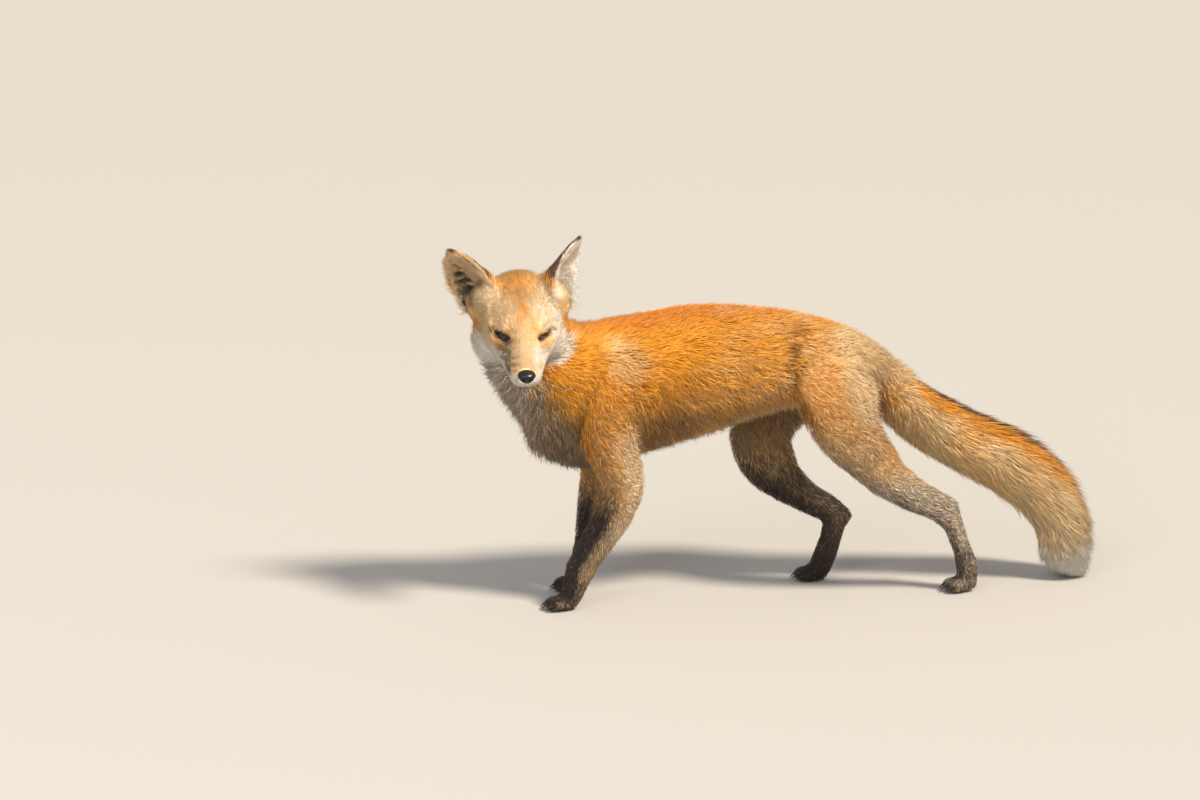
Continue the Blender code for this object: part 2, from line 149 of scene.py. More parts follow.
# %% [markdown]
# ## The floor and the light
#
# A pale, plain floor shows the outline and the shadow and nothing else. The key light is a
# warm sun, softened to twelve degrees across, that stands high on the fox's left over its
# hindquarters, so that the back, the face and the rump are bright and the belly is in shade.
# A wide, weak soft box in front fills the shade, and an even, pale world does the rest.

# %% The floor
FLOOR_HALF_WIDTH = 60

bm = bmesh.new()
bmesh.ops.create_grid(bm, x_segments=1, y_segments=1, size=FLOOR_HALF_WIDTH)
floor_mesh = bpy.data.meshes.new("floor")
bm.to_mesh(floor_mesh)
bm.free()
floor = bpy.data.objects.new("floor", floor_mesh)
bpy.context.scene.collection.objects.link(floor)
# Matt paper scatters all its light, so it shows the shadow without a shine.
paper = bpy.data.materials.new("matt studio paper")
paper.use_nodes = True
paper_shader = paper.node_tree.nodes["Principled BSDF"]
paper_shader.inputs["Base Color"].default_value = linear("ACAAA8")
paper_shader.inputs["Roughness"].default_value = 0.9
floor_mesh.materials.append(paper)
floor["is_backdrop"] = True
say(f"a floor {2 * FLOOR_HALF_WIDTH} m wide")

# %% Lamps and world
LIT_PLACE = Vector((0, 0, 0.2))  # the middle of the fox, which every lamp faces


def lamp(name, kind, place, power, colour, size):
    """A lamp that faces the fox: a square soft box, or a sun of that many degrees."""
    light = bpy.data.lights.new(name, kind)
    if kind == "SUN":
        light.angle = math.radians(size)
    else:
        light.size = size
    light.energy = power
    light.color = linear(colour)[:3]
    holder = bpy.data.objects.new(name, light)
    holder.location = place
    facing = Vector(place) - LIT_PLACE
    holder.rotation_euler = facing.to_track_quat("Z", "Y").to_euler()
    bpy.context.scene.collection.objects.link(holder)


lamp("key", "SUN", place=(2.1, -2.3, 4.2), power=5.4, colour="FFF1DC", size=12)
lamp("fill", "AREA", place=(-2.8, -4.0, 3.2), power=120, colour="F4F3FA", size=3.0)
world = bpy.data.worlds.new("studio")
world.use_nodes = True
background = world.node_tree.nodes["Background"]
background.inputs["Color"].default_value = linear("F3EFE8")
background.inputs["Strength"].default_value = 0.62
bpy.context.scene.world = world
bpy.context.scene.view_settings.view_transform = "Standard"
say("a sun and a soft box are lit")

# %% [markdown]
# ## Places on the head
#
# Everything on the face is placed in the skull's own axes: x runs forwards, y to the fox's
# left and z out of the crown, from the middle of the braincase. They are worked out from the
# two eyeballs and the nose pad of the solids, so the face stays right if the head turns.


# %% The skull's axes
def middle(node):
    """The middle of a solid's box."""
    low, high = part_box(node)
    return (low + high) / 2


# The line from between the eyes to the nose falls this much below the line of the skull.
MUZZLE_FALL = math.radians(15.3)
EYES_FORWARD, EYES_UP = 29.5 * MM, 9.6 * MM  # from the middle of the braincase

EYE_RADIUS = (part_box("eye_left")[1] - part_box("eye_left")[0]).z / 2
between_eyes = (middle("eye_left") + middle("eye_right")) / 2
leftwards = (middle("eye_left") - middle("eye_right")).normalized()
forwards = (middle("nose") - between_eyes).normalized()
skull_axes = Matrix((forwards, leftwards, forwards.cross(leftwards))).transposed().to_4x4()
skull_axes.translation = between_eyes
skull_axes = (
    skull_axes
    @ Matrix.Rotation(-MUZZLE_FALL, 4, "Y")
    @ Matrix.Translation((-EYES_FORWARD, 0, -EYES_UP))
)
to_skull = skull_axes.inverted()
nose_place = to_skull @ middle("nose")
say(f"the nose is {nose_place.x / MM:.0f} mm in front of the middle of the skull")


def in_axes(points, axes):
    """An array of points, moved from the fox's axes into others."""
    matrix = np.array(axes)
    return points @ matrix[:3, :3].T + matrix[:3, 3]


# %% [markdown]
# ## One skin
#
# A real animal has one skin, while the solids are cut into named parts. Joining them with a
# Boolean would keep every facet and seam. A voxel remesh instead pours one new surface over
# all of them: each solid is first grown by less than half a millimetre, so that the hairline
# cuts between them close.

# %% Copies of the solids, and new objects
flesh_nodes = sorted(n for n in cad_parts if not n.startswith(("claw", "eye", "nose")))


def closed_copy(node):
    """A copy of a solid's mesh with its loose triangles merged."""
    solid = bmesh.new()
    solid.from_mesh(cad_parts[node].data)
    bmesh.ops.remove_doubles(solid, verts=solid.verts, dist=0.001 * MM)
    solid.normal_update()
    return solid


def add_object(name, source):
    """A new object made from a bmesh, which is freed."""
    made = bpy.data.meshes.new(name)
    source.to_mesh(made)
    source.free()
    piece = bpy.data.objects.new(name, made)
    bpy.context.scene.collection.objects.link(piece)
    return piece


def apply_all(piece):
    """Replaces a piece's mesh with the one its modifiers give."""
    shown = piece.evaluated_get(bpy.context.evaluated_depsgraph_get())
    made = bpy.data.meshes.new_from_object(shown)
    piece.modifiers.clear()
    piece.data = made


say(f"{len(flesh_nodes)} solids are flesh")

# %% Pour one surface over the solids
SKIN_VOXEL = 2.0 * MM
OVERLAP = 0.4 * MM

joined = bmesh.new()
for node in flesh_nodes + ["eye_left", "eye_right", "nose"]:
    solid = closed_copy(node)
    for vert in solid.verts:
        vert.co += vert.normal * OVERLAP
    one = bpy.data.meshes.new("one")
    solid.to_mesh(one)
    solid.free()
    joined.from_mesh(one)
    bpy.data.meshes.remove(one)
skin = add_object("skin", joined)
remesh = skin.modifiers.new("pour", "REMESH")
remesh.mode = "VOXEL"
remesh.voxel_size = SKIN_VOXEL
apply_all(skin)
say(f"one surface of {len(skin.data.vertices)} points")

# %% [markdown]
# ## Which part of the body is under each point
#
# The depth of the coat, its length and its markings depend on the part of the body. Each
# point of the skin asks the solids which one is nearest. A bounding volume tree over all
# their faces answers that quickly, and averaging along the edges of the mesh then turns the
# hard borders between the parts into soft ones.


# %% Arrays of the skin, and soft averages along its edges
def array_of(items, attribute, width, kind=np.float32):
    """One attribute of a mesh's items as an array."""
    values = np.empty(len(items) * width, kind)
    items.foreach_get(attribute, values)
    return values.reshape(-1, width) if width > 1 else values


def make_average(mesh):
    """A function that replaces each point's value with the mean of its neighbours'."""
    edges = array_of(mesh.edges, "vertices", 2, np.int32)
    here, there = np.concatenate((edges, edges[:, ::-1])).T
    count = len(mesh.vertices)
    share = 1.0 / np.maximum(np.bincount(here, minlength=count), 1)

    def average(values):
        if values.ndim == 1:
            return np.bincount(here, values[there], count) * share
        columns = [np.bincount(here, column[there], count) * share for column in values.T]
        return np.stack(columns, axis=1)

    return average


def soften(values, average, rounds):
    """Values averaged along the edges that many times."""
    for _ in range(rounds):
        values = (values + average(values)) / 2
    return values


def ramp(values, start, end):
    """A smooth step from 0 at start to 1 at end, whichever is the larger."""
    t = np.clip((values - start) / (end - start), 0, 1)
    return t * t * (3 - 2 * t)


def unit(vectors):
    """Vectors scaled to length 1."""
    return vectors / np.maximum(np.linalg.norm(vectors, axis=-1, keepdims=True), 1e-9)


# %% What is known at each point of the skin
solid_faces, face_nodes, corners = [], [], []
for index, node in enumerate(flesh_nodes):
    solid = closed_copy(node)
    first = len(corners)
    corners.extend(vert.co.copy() for vert in solid.verts)
    solid_faces.extend([vert.index + first for vert in face.verts] for face in solid.faces)
    face_nodes.extend([index] * len(solid.faces))
    solid.free()
solid_tree = BVHTree.FromPolygons(corners, solid_faces)


class Survey:
    """What is known at each point of the skin as its mesh is now."""

    def __init__(self, mesh):
        self.places = array_of(mesh.vertices, "co", 3).astype(float)
        self.normals = array_of(mesh.vertices, "normal", 3).astype(float)
        self.owner = np.array([
            face_nodes[solid_tree.find_nearest(Vector(place))[2]] for place in self.places
        ])
        self.average = make_average(mesh)
        self.skull = in_axes(self.places, to_skull)

    def by_part(self, table, rounds=0):
        """A value at each point, from a table of the beginnings of the parts' names."""
        values = np.zeros(len(flesh_nodes))
        for i, node in enumerate(flesh_nodes):
            found = [value for key, value in table.items() if node.startswith(key)]
            values[i] = found[0] if found else 0.0
        return soften(values[self.owner], self.average, rounds)

    def share(self, *beginnings, rounds=6):
        """How much each point belongs to the parts named so, from 0 to 1."""
        return self.by_part({name: 1.0 for name in beginnings}, rounds)


here = Survey(skin.data)
say(f"the skin knows which of {len(flesh_nodes)} parts it covers")

# %% [markdown]
# ## Sinking the skin below the hair
#
# The depth is the distance from the hair tips down to the skin: a few millimetres on the
# legs, none to speak of on the ears, and much the most on the brush. Moving every point
# inwards in one go would fold the surface over where it is thin, so the depth is taken in
# small steps, with a little smoothing after each.

# %% Depth of the coat
# In millimetres, from the hair tips down to the skin.
COAT_DEPTH = {
    "head": 4.0, "neck": 10.0, "trunk": 8.0, "ear": 0.8,
    "tail": 10.0, "foreleg_left_paw": 1.8, "foreleg_right_paw": 1.8, "foreleg": 4.0,
    "hindleg_left_foot": 2.2, "hindleg_right_foot": 2.2, "hindleg": 4.0,
}
# The coat also deepens up the legs and down the brush, by these amounts.
DEEPER_UP_THE_LEG = 4.0
DEEPER_DOWN_THE_BRUSH = 9.0
DEEPER_ON_THE_THROAT = 9.0
# How many rounds of smoothing take the solids' facets away, and how much each step of the
# sinking smooths on, between 0 and 1.
EVENING = {
    "head": 22, "neck": 80, "trunk": 80, "tail": 80, "ear": 5, "foreleg": 30,
    "hindleg_left_thigh": 70, "hindleg_right_thigh": 70, "hindleg": 30,
}
KEEPING = {"head": 0.1, "neck": 0.5, "trunk": 0.5, "tail": 0.6, "foreleg": 0.15, "hindleg": 0.15}
SINK_STEPS = 16


# %% Depth at each point
def front_of_throat(at):
    """How much each point is on the forward face of the throat and chest."""
    z = at.places[:, 2]
    facing = soften(ramp(-at.normals[:, 0], 0.35, 0.75), at.average, 12)
    front = at.share("neck", "trunk", rounds=12) * facing
    return front * ramp(z, 0.37, 0.33) * ramp(z, 0.19, 0.23)


def coat_depth(at):
    """The depth of the coat at each point, in metres."""
    body = at.by_part(COAT_DEPTH, rounds=40)
    fine = at.by_part(COAT_DEPTH, rounds=6)
    small = at.share("head", "ear", "foreleg_left_paw", "foreleg_right_paw", rounds=8)
    deep = body + (fine - body) * small
    x, y, z = at.skull.T
    # The coat is thin on the face and deep on the ruff behind the cheeks.
    on_head = at.share("head")
    face = ramp(x, 0.0, 0.040)
    ruff = ramp(np.abs(y), 0.022, 0.042) * ramp(x, 0.022, -0.006) * ramp(z, 0.020, -0.006)
    deep += on_head * (5.0 * ruff - 2.4 * face)
    x, _, z = at.places.T
    legs = at.share("foreleg", rounds=12) * ramp(z, 0.14, 0.24)
    legs += at.share("hindleg", rounds=12) * ramp(z, 0.17, 0.26)
    brush = at.share("tail", rounds=12) * ramp(x, 0.150, 0.330) * ramp(z, 0.005, 0.060)
    deep += DEEPER_UP_THE_LEG * legs + DEEPER_DOWN_THE_BRUSH * brush
    deep += DEEPER_ON_THE_THROAT * front_of_throat(at)
    return np.maximum(soften(deep, at.average, 6), 0.5) * MM


# %% [markdown]
# ## The sinking itself
#
# First the facets of the solids are smoothed away, most on the trunk and least on the ears,
# and then the surface goes down step by step.

# %% Even the surface out and sink it
depth = coat_depth(here)
places = here.places
rounds_here = here.by_part(EVENING, rounds=10)
for turn in range(max(EVENING.values())):
    pull = np.clip(rounds_here - turn, 0, 1)[:, None] * 0.5
    places += (here.average(places) - places) * pull
keeping = here.by_part(KEEPING, rounds=8)[:, None]
for _ in range(SINK_STEPS):
    skin.data.vertices.foreach_set("co", places.astype(np.float32).ravel())
    skin.data.update()
    inwards = here.average(-array_of(skin.data.vertices, "normal", 3))
    places += inwards * depth[:, None] / SINK_STEPS
    places += (here.average(places) - places) * keeping
skin.data.vertices.foreach_set("co", places.astype(np.float32).ravel())
skin.data.update()
say(f"skin sunk by {depth.min() / MM:.1f} to {depth.max() / MM:.1f} mm")

# %% [markdown]
# ## Fewer points where the body is smooth
#
# The remesh spends as many points on a smooth flank as on the face. Decimate takes them
# away where the surface is flat, and a vertex group tells it to spare the head, the ears
# and the paws.

# %% Thin out the body
KEPT_SHARE = 0.29
spared = here.share("head", "ear", "foreleg_left_paw", "foreleg_right_paw", rounds=20)
group = skin.vertex_groups.new(name="may_be_thinned")
levels = np.round((1 - spared) * 4) / 4  # five steps are enough, and are quick to set
for level in np.unique(levels):
    group.add(np.flatnonzero(levels == level).tolist(), float(level), "REPLACE")
thin = skin.modifiers.new("thin", "DECIMATE")
thin.ratio = KEPT_SHARE
thin.vertex_group = group.name
thin.vertex_group_factor = 0.4
apply_all(skin)
skin.vertex_groups.clear()
say(f"skin thinned to {len(skin.data.polygons)} faces")

# %% [markdown]
# ## Lids, lips and folds
#
# The eyes are screwed up against a low sun, the left a little more, so each shows as a dark
# slit between two thick lids that wrap the eyeball. A boolean would cut a hole with a sharp
# edge, so the points near the eye are moved in the eye's own axes instead, once there are
# enough of them: Subdivide splits the edges there and along the lips.

# %% Eye axes and the slit between the lids
LID_HALF_LENGTH = 11.5 * MM
LID_HALF_OPENING = {"left": 1.7 * MM, "right": 2.3 * MM}
LID_THICKNESS = 0.9 * MM
EYE_REACH = 17 * MM  # how far the lids reach from the middle of the eye
# How far each eye looks outwards and upwards, and how far its slit slants, in degrees.
EYE_OUTWARDS, EYE_UPWARDS, EYE_SLANT = 31, 22, 14
SIDES = {"left": 1, "right": -1}  # the sign of y in the head's axes


def eye_axes(side):
    """From an eye's own axes, x out of the pupil and y along the lids, to the fox's."""
    sign = SIDES[side]
    return (
        skull_axes
        @ Matrix.Translation(to_skull @ middle("eye_" + side))
        @ Matrix.Rotation(math.radians(sign * EYE_OUTWARDS), 4, "Z")
        @ Matrix.Rotation(math.radians(-EYE_UPWARDS), 4, "Y")
        @ Matrix.Rotation(math.radians(sign * EYE_SLANT), 4, "X")
    )


def half_opening(along, side):
    """Half the opening between the lids, at a distance along them from their middle."""
    return LID_HALF_OPENING[side] * np.clip(1 - (along / LID_HALF_LENGTH) ** 2, 0, 1) ** 0.7


# %% More points where the lids and lips will be
def refine(near, cuts):
    """Subdivides the skin's edges whose middle is near, as a function of places says."""
    bm = bmesh.new()
    bm.from_mesh(skin.data)
    middles = np.array([(e.verts[0].co + e.verts[1].co) / 2 for e in bm.edges])
    chosen = np.flatnonzero(near(middles))
    bm.edges.ensure_lookup_table()
    bmesh.ops.subdivide_edges(
        bm, edges=[bm.edges[i] for i in chosen], cuts=cuts, use_grid_fill=True, smooth=0.0
    )
    bmesh.ops.triangulate(bm, faces=[f for f in bm.faces if len(f.verts) > 4])
    bm.to_mesh(skin.data)
    bm.free()


def near_an_eye(points):
    """Points within reach of the lids."""
    centres = [np.array(middle("eye_" + side)) for side in SIDES]
    return np.min([np.linalg.norm(points - c, axis=1) for c in centres], axis=0) < EYE_REACH


def on_the_lips(points):
    """Points round the front half of the muzzle."""
    x, y, z = in_axes(points, to_skull).T
    return (x > 0.044) & (z < 0.002)


refine(on_the_lips, 1)
refine(near_an_eye, 2)
say(f"the face is finer: the skin has {len(skin.data.vertices)} points")

# %% [markdown]
# ## Carving the face
#
# Inside the slit the skin drops behind the eyeball, and around it, it follows a ball slightly
# larger than the eyeball, with a crease above and a fold below. The lips are a groove along
# each side of the muzzle, with the chin set back below it.


# %% Lids, mouth and the furrow of the lip
def carve_eye(points, side):
    """Moves the skin's points round one eye along its line of sight."""
    axes = eye_axes(side)
    out, along, across = in_axes(points, axes.inverted()).T
    # How far each point is from the slit, or past its corners, from the nearer corner.
    edge = np.abs(across) - half_opening(along, side)
    edge = np.where(np.abs(along) > LID_HALF_LENGTH,
                    np.hypot(np.abs(along) - LID_HALF_LENGTH, across), edge)
    radius2 = along ** 2 + across ** 2
    # The lids follow a ball larger than the eyeball, with a crease above and a fold below.
    ball = np.sqrt(np.maximum(EYE_RADIUS ** 2 - radius2, 0))
    shell = np.sqrt(np.maximum((EYE_RADIUS + LID_THICKNESS) ** 2 - radius2, 0))
    shell = np.maximum(shell, out - 3 * MM)
    lid = shell + (out - shell) * ramp(edge, 1.5 * MM, 7.0 * MM)
    crease = np.exp(-((edge - 3.6 * MM) / (0.8 * MM)) ** 2) * (across > 0)
    fold = np.exp(-((edge - 3.2 * MM) / (0.9 * MM)) ** 2) * (across < 0)
    lid -= (0.7 * crease + 0.6 * fold) * MM * ramp(np.abs(along), 14 * MM, 8 * MM)
    # Inside the slit the skin drops behind the eyeball.
    slit = np.minimum(ball - 1.2 * MM, out)
    slit = slit + (out - 1.0 * MM - slit) * ramp(ball, 4 * MM, 1 * MM)
    moved = slit + (lid - slit) * ramp(edge, -0.3 * MM, 0.4 * MM)
    # Both fade out with distance, so that the lids meet the face.
    fading = ramp(np.sqrt(radius2), 16 * MM, 12.5 * MM) * ramp(out, -1.5 * MM, 1.5 * MM)
    new = np.stack((out + (moved - out) * fading, along, across), axis=1)
    return in_axes(new, axes)


def mouth_line(forward):
    """How high the mouth runs, from how far forward it is, in the skull's axes."""
    return -0.0235 - 0.0015 * ramp(forward, 0.095, 0.060)


def carve_muzzle(points, normals):
    """Cuts the line of the mouth, and the short furrow from it up to the nose."""
    x, y, z = in_axes(points, to_skull).T
    line = mouth_line(x)
    mouth = np.exp(-((z - line) / (1.1 * MM)) ** 2) * ramp(x, 0.042, 0.056)
    chin = ramp(z, line + 0.5 * MM, line - 2.5 * MM) * ramp(x, 0.050, 0.080)
    furrow = np.exp(-(y / (0.8 * MM)) ** 2) * ramp(x, 0.086, 0.094) * (z > line)
    inwards = (1.3 * mouth + 1.2 * chin + 0.6 * furrow) * MM
    return points - normals * inwards[:, None]


# %% Carve the face
skin.data.update()
places = array_of(skin.data.vertices, "co", 3).astype(float)
places = carve_muzzle(places, array_of(skin.data.vertices, "normal", 3))
for side in SIDES:
    places = carve_eye(places, side)
skin.data.vertices.foreach_set("co", places.astype(np.float32).ravel())
skin.data.update()
skin.data.shade_smooth()
here = Survey(skin.data)
depth = coat_depth(here)
say(f"face carved; the skin has {len(skin.data.polygons)} faces")

# %% [markdown]
# ## The lie of the coat
#
# Hair on a mammal points away from the nose: back over the head, along the trunk and down
# the limbs to the toes. So the shortest way over the skin from the nose to each point gives
# the lie of the hair there, with no direction typed in. Dijkstra's method finds those ways,
# and the direction is read from a point a little way back along each of them.

# %% The ways from the nose
BACKTRACK = 9  # edges back along each way
NOSE_TIP_FORWARD = 8 * MM  # from the middle of the nose pad


def ways_from(start, mesh, places):
    """For each point, the point before it on the shortest way over the skin from start."""
    pairs = array_of(mesh.edges, "vertices", 2, np.int32)
    lengths = np.linalg.norm(places[pairs[:, 0]] - places[pairs[:, 1]], axis=1)
    links = [[] for _ in range(len(places))]
    for (a, b), length in zip(pairs.tolist(), lengths.tolist()):
        links[a].append((b, length))
        links[b].append((a, length))
    reached = [math.inf] * len(places)
    before = list(range(len(places)))
    reached[start] = 0.0
    queue = [(0.0, start)]
    while queue:
        far, at = heapq.heappop(queue)
        if far > reached[at]:
            continue
        for other, length in links[at]:
            if far + length < reached[other]:
                reached[other] = far + length
                before[other] = at
                heapq.heappush(queue, (far + length, other))
    return np.array(before)


# %% Comb back from the nose
LIE_EVENING = 24  # rounds of smoothing

nose_tip = np.array(middle("nose") + forwards * NOSE_TIP_FORWARD)
start = int(np.argmin(np.linalg.norm(here.places - nose_tip, axis=1)))
before = ways_from(start, skin.data, here.places)
origin = np.arange(len(before))
for _ in range(BACKTRACK):
    origin = before[origin]
lie = here.places - here.places[origin]
# Low on the flank the hair also hangs down.
low = ramp(here.places[:, 2], 0.33, 0.27)
flank_drop = here.share("trunk", rounds=20) * (0.08 + 0.60 * low)
lie = unit(lie) + np.outer(flank_drop, (0, 0, -1))


def lay_flat(vectors, normals):
    """Vectors turned into the surface, at length 1."""
    return unit(vectors - normals * np.sum(vectors * normals, axis=1, keepdims=True))


for _ in range(LIE_EVENING):
    lie = lay_flat(here.average(lie) + lie, here.normals)
say("the lie of the coat is known")

# %% [markdown]
# ## Markings
#
# A fox's coat is orange on top, white or grey below, black on the backs of the ears and down
# the fronts of the legs. Each marking is a number from 0 to 1 at every point of the skin, made
# from which part the point is on, where it lies, in metres, and which way it faces. The skin
# and the hair then read the same numbers, so they always agree. Two small functions stand
# for a painter's hand: one adds a marking and one rubs it out.

# %% Patches, stripes and waves
def spot(points, centre, radii):
    """A soft round patch: 1 at its centre and 0 past its radii."""
    away = np.sqrt(sum(((p - c) / r) ** 2 for p, c, r in zip(points.T, centre, radii)))
    return ramp(away, 1.0, 0.45)


def stripe(points, radius, *stops):
    """A soft stripe of that radius through two or more places."""
    away = np.full(len(points), np.inf)
    for start, end in zip(np.array(stops[:-1]), np.array(stops[1:])):
        way = end - start
        share = np.clip((points - start) @ way / (way @ way), 0, 1)
        away = np.minimum(away, np.linalg.norm(points - start - share[:, None] * way, axis=1))
    return ramp(away, radius, radius / 3)


def wavering(points, wavelength, seed):
    """A smooth random number from about -1 to 1 at each point, and its slope."""
    draws = np.random.default_rng(seed)
    waves = unit(draws.normal(size=(9, 3))) * draws.uniform(0.7, 1.4, (9, 1))
    waves = waves * 2 * np.pi / wavelength
    phases = points @ waves.T + draws.uniform(0, 2 * np.pi, 9)
    slope = np.cos(phases) @ waves * wavelength / (2 * np.pi) / 3
    return np.sin(phases).sum(axis=1) / 3, slope


# %% The painter's hand, and the parts of the body
def ripple(millimetres, seed):
    """A smooth random number at each point of the skin."""
    return wavering(here.places, millimetres * MM, seed)[0]


marks = {name: np.zeros(len(here.places)) for name in ("snow", "soot", "straw", "rust", "grizzle")}


def paint(where, **amounts):
    """Adds an amount of each marking named."""
    for name, amount in amounts.items():
        marks[name] += where * amount


def wipe(where, **shares):
    """Takes away a share of each marking named."""
    for name, share in shares.items():
        marks[name] *= 1 - share * where


x, y, z = here.places.T
nx, _, nz = here.normals.T
sx, sy, sz = here.skull.T
cheek = np.abs(sy)
mirrored = np.stack((sx, cheek, sz), axis=1)
from_the_side = np.stack((x, np.zeros(len(x)), z), axis=1)
head = here.share("head", rounds=3)
neck = here.share("neck", rounds=14)
trunk = here.share("trunk", rounds=14)
tail = here.share("tail", rounds=14)
forelegs = here.share("foreleg", rounds=10)
hindlegs = here.share("hindleg", rounds=14)
thigh = here.share("hindleg_left_thigh", "hindleg_right_thigh", rounds=14)
spine = middle("trunk").y
far_side = ramp(y, spine, spine + 30 * MM)
near_side = 1 - far_side

# %% [markdown]
# ## Throat, belly, back and flank
#
# The throat and the front of the chest are white with dark tips, and the belly is dull white;
# the lower chest, the side of the throat and the belly are darkened further as painted shade.
# The ridge of the back is rufous and the flank golden. A blond patch lies on the shoulder,
# lightened further as a painted highlight of the sun. Behind the elbow and low on the flank the
# hair is sooty and tipped with brown, partly in the coat and partly as painted shade. Summer
# coats are uneven, so ripples a few centimetres long break each edge.

# %% Mark the trunk
throat = ramp(-nx - 0.5 * nz, 0.22, 0.85) * (neck + trunk * ramp(x, -0.20, -0.25))
paint(throat, snow=0.9, grizzle=0.60)
# The lower chest is browner and darker with dark tips: partly the grizzled coat, partly painted
# shade under the head.
paint(throat * ramp(z, 0.32, 0.24), snow=-0.45, straw=0.5, soot=0.30)
# The near side of the throat is brown-tipped and darker: partly the grizzled coat, partly painted
# shade.
side_of_throat = (neck + trunk) * ramp(x + 0.55 * (z - 0.22), -0.240, -0.262)
paint(side_of_throat * (1 - throat) * near_side, snow=0.30, straw=0.60, soot=0.22, grizzle=0.75)
# The belly, facing down, is a dull white, dulled further with straw and grizzle as painted shade.
paint(trunk * ramp(nz, -0.60, -0.92), snow=0.30, straw=0.7, grizzle=0.25)
paint(hindlegs * ramp(z, 0.17, 0.21) * ramp(np.abs(y - spine), 0.030, 0.012), snow=0.6)

paint((trunk + neck) * ramp(nz, 0.45, 0.95) * ramp(x, 0.10, -0.10), rust=0.55)
paint(trunk * ramp(x, -0.16, -0.06), straw=0.32)
paint(trunk * ramp(x, 0.0, 0.12), straw=0.35 + 0.2 * ripple(50, 4))
# A blond patch on the near shoulder, where the sun falls: blond hair brightened into a painted
# highlight.
blond = stripe(from_the_side, 0.033, (-0.213, 0, 0.334), (-0.198, 0, 0.310))
blond *= near_side * ramp(nz, 0.80, 0.55)
paint(blond, straw=0.60)
shoulder = ramp(z, 0.30, 0.24) * ramp(x, -0.09, -0.14) * (trunk + forelegs)
paint(shoulder * ramp(nx, -0.9, -0.6), grizzle=0.45, straw=0.25)
# Behind the elbow the hair is darkened with soot: partly dark underfur, partly painted shade.
soot_and_painted_shade_behind_elbow = stripe(from_the_side, 0.040, (-0.165, 0, 0.222), (-0.060, 0, 0.243)) * trunk
paint(soot_and_painted_shade_behind_elbow * (0.8 + 0.6 * ripple(24, 10)), soot=0.28)
# Low on the flank, where the skin faces down, the hair is tipped brown and darker: partly the
# coat, partly painted shade.
paint(trunk * ramp(z, 0.285, 0.245) * ramp(nz, -0.75, -0.35), grizzle=0.55, rust=0.25)
say("trunk marked")

# %% [markdown]
# ## Legs
#
# The thigh is pale along its back edge, and paler still as painted light where it faces the key
# lamp on the near side. The crease where it meets the flank is darkened as painted shade. Below
# it the legs darken to grizzled stockings, which are black down the front of the forelegs. The
# near upper foreleg is lightened as painted light, and the far hind leg is darkened as painted
# shade.

# %% Mark the legs
# Cream hair on the back of the near thigh, made paler where it faces the key lamp: partly the
# coat, partly painted light.
band = stripe(here.places, 0.040, (0.092, -0.010, 0.332), (0.113, -0.046, 0.255))
pale_back_edge_and_painted_light = ramp(nx, 0.10, 0.60) * ramp(z, 0.20, 0.26)
paint(thigh, straw=0.50)
paint((thigh + 0.6 * trunk) * np.maximum(band, pale_back_edge_and_painted_light) * near_side, straw=0.62)
paint(thigh * band ** 2, snow=0.25)
paint(hindlegs * ramp(z, 0.25, 0.18), straw=0.4)
# The crease where the thigh meets the flank is painted brown and sooty as painted shade, and its
# blond is wiped out.
crease = stripe(here.places, 0.016, (0.018, -0.008, 0.350), (0.007, -0.026, 0.311),
                (0.014, -0.026, 0.271), (0.030, -0.036, 0.236))
paint(crease, grizzle=0.9, rust=0.35)
paint(crease ** 2, soot=0.30)
wipe(crease, straw=0.7)
# Grizzled stockings on the hind legs, sooty down the front. The far leg gets more soot and none of
# the pale frosting: painted shade.
paint(hindlegs * ramp(z, 0.205, 0.120), grizzle=0.45, snow=0.58 * near_side,
      straw=0.75 - 0.1 * far_side,
      soot=0.34 + 0.22 * ramp(-nx - 0.3 * nz, -0.2, 0.7) + 0.24 * far_side)
paint(hindlegs * ramp(z, 0.075, 0.045), soot=0.25)
paint(thigh * ramp(z, 0.29, 0.20), grizzle=0.6, rust=0.25)
# The far thigh and hind leg, turned from the key lamp, are darkened as painted shade.
paint(thigh * far_side, grizzle=0.5, rust=0.5)
paint(hindlegs * far_side * ramp(z, 0.31, 0.25), soot=0.24)

forearm = forelegs * ramp(z, 0.170, 0.105)
paint(forearm, grizzle=0.35, snow=0.22 * ramp(-nx, -0.05, 0.45),
      soot=0.85 * ramp(-nx + 0.2 * nz, -0.05, 0.45))
paint(forelegs * ramp(z, 0.050, 0.030), soot=0.55)
paint(forelegs * ramp(z, 0.250, 0.150), straw=0.45 + 0.45 * ramp(nx, -0.2, 0.5))
paint(forearm * ramp(z, 0.135, 0.085) * ramp(nx, 0.6, 0.0), snow=0.34, soot=0.22)
# The back of the near upper foreleg, facing the key lamp, is lightened and its grizzle wiped out:
# painted light.
upper_foreleg = forelegs * near_side * ramp(z, 0.265, 0.215) * ramp(z, 0.070, 0.105)
painted_light_on_foreleg = upper_foreleg * ramp(nx, -0.25, 0.35)
paint(painted_light_on_foreleg, straw=0.5, snow=0.32)
wipe(painted_light_on_foreleg, grizzle=0.75)
paint(upper_foreleg * ramp(nx, 0.0, -0.6), soot=0.22)
say("legs marked")

# %% [markdown]
# ## Brush
#
# The brush is tan, with black guard hairs along its top over an orange band, and white at
# its tip. Which way is up on a hanging tail is found from the lie of its hair, turned a
# quarter round.

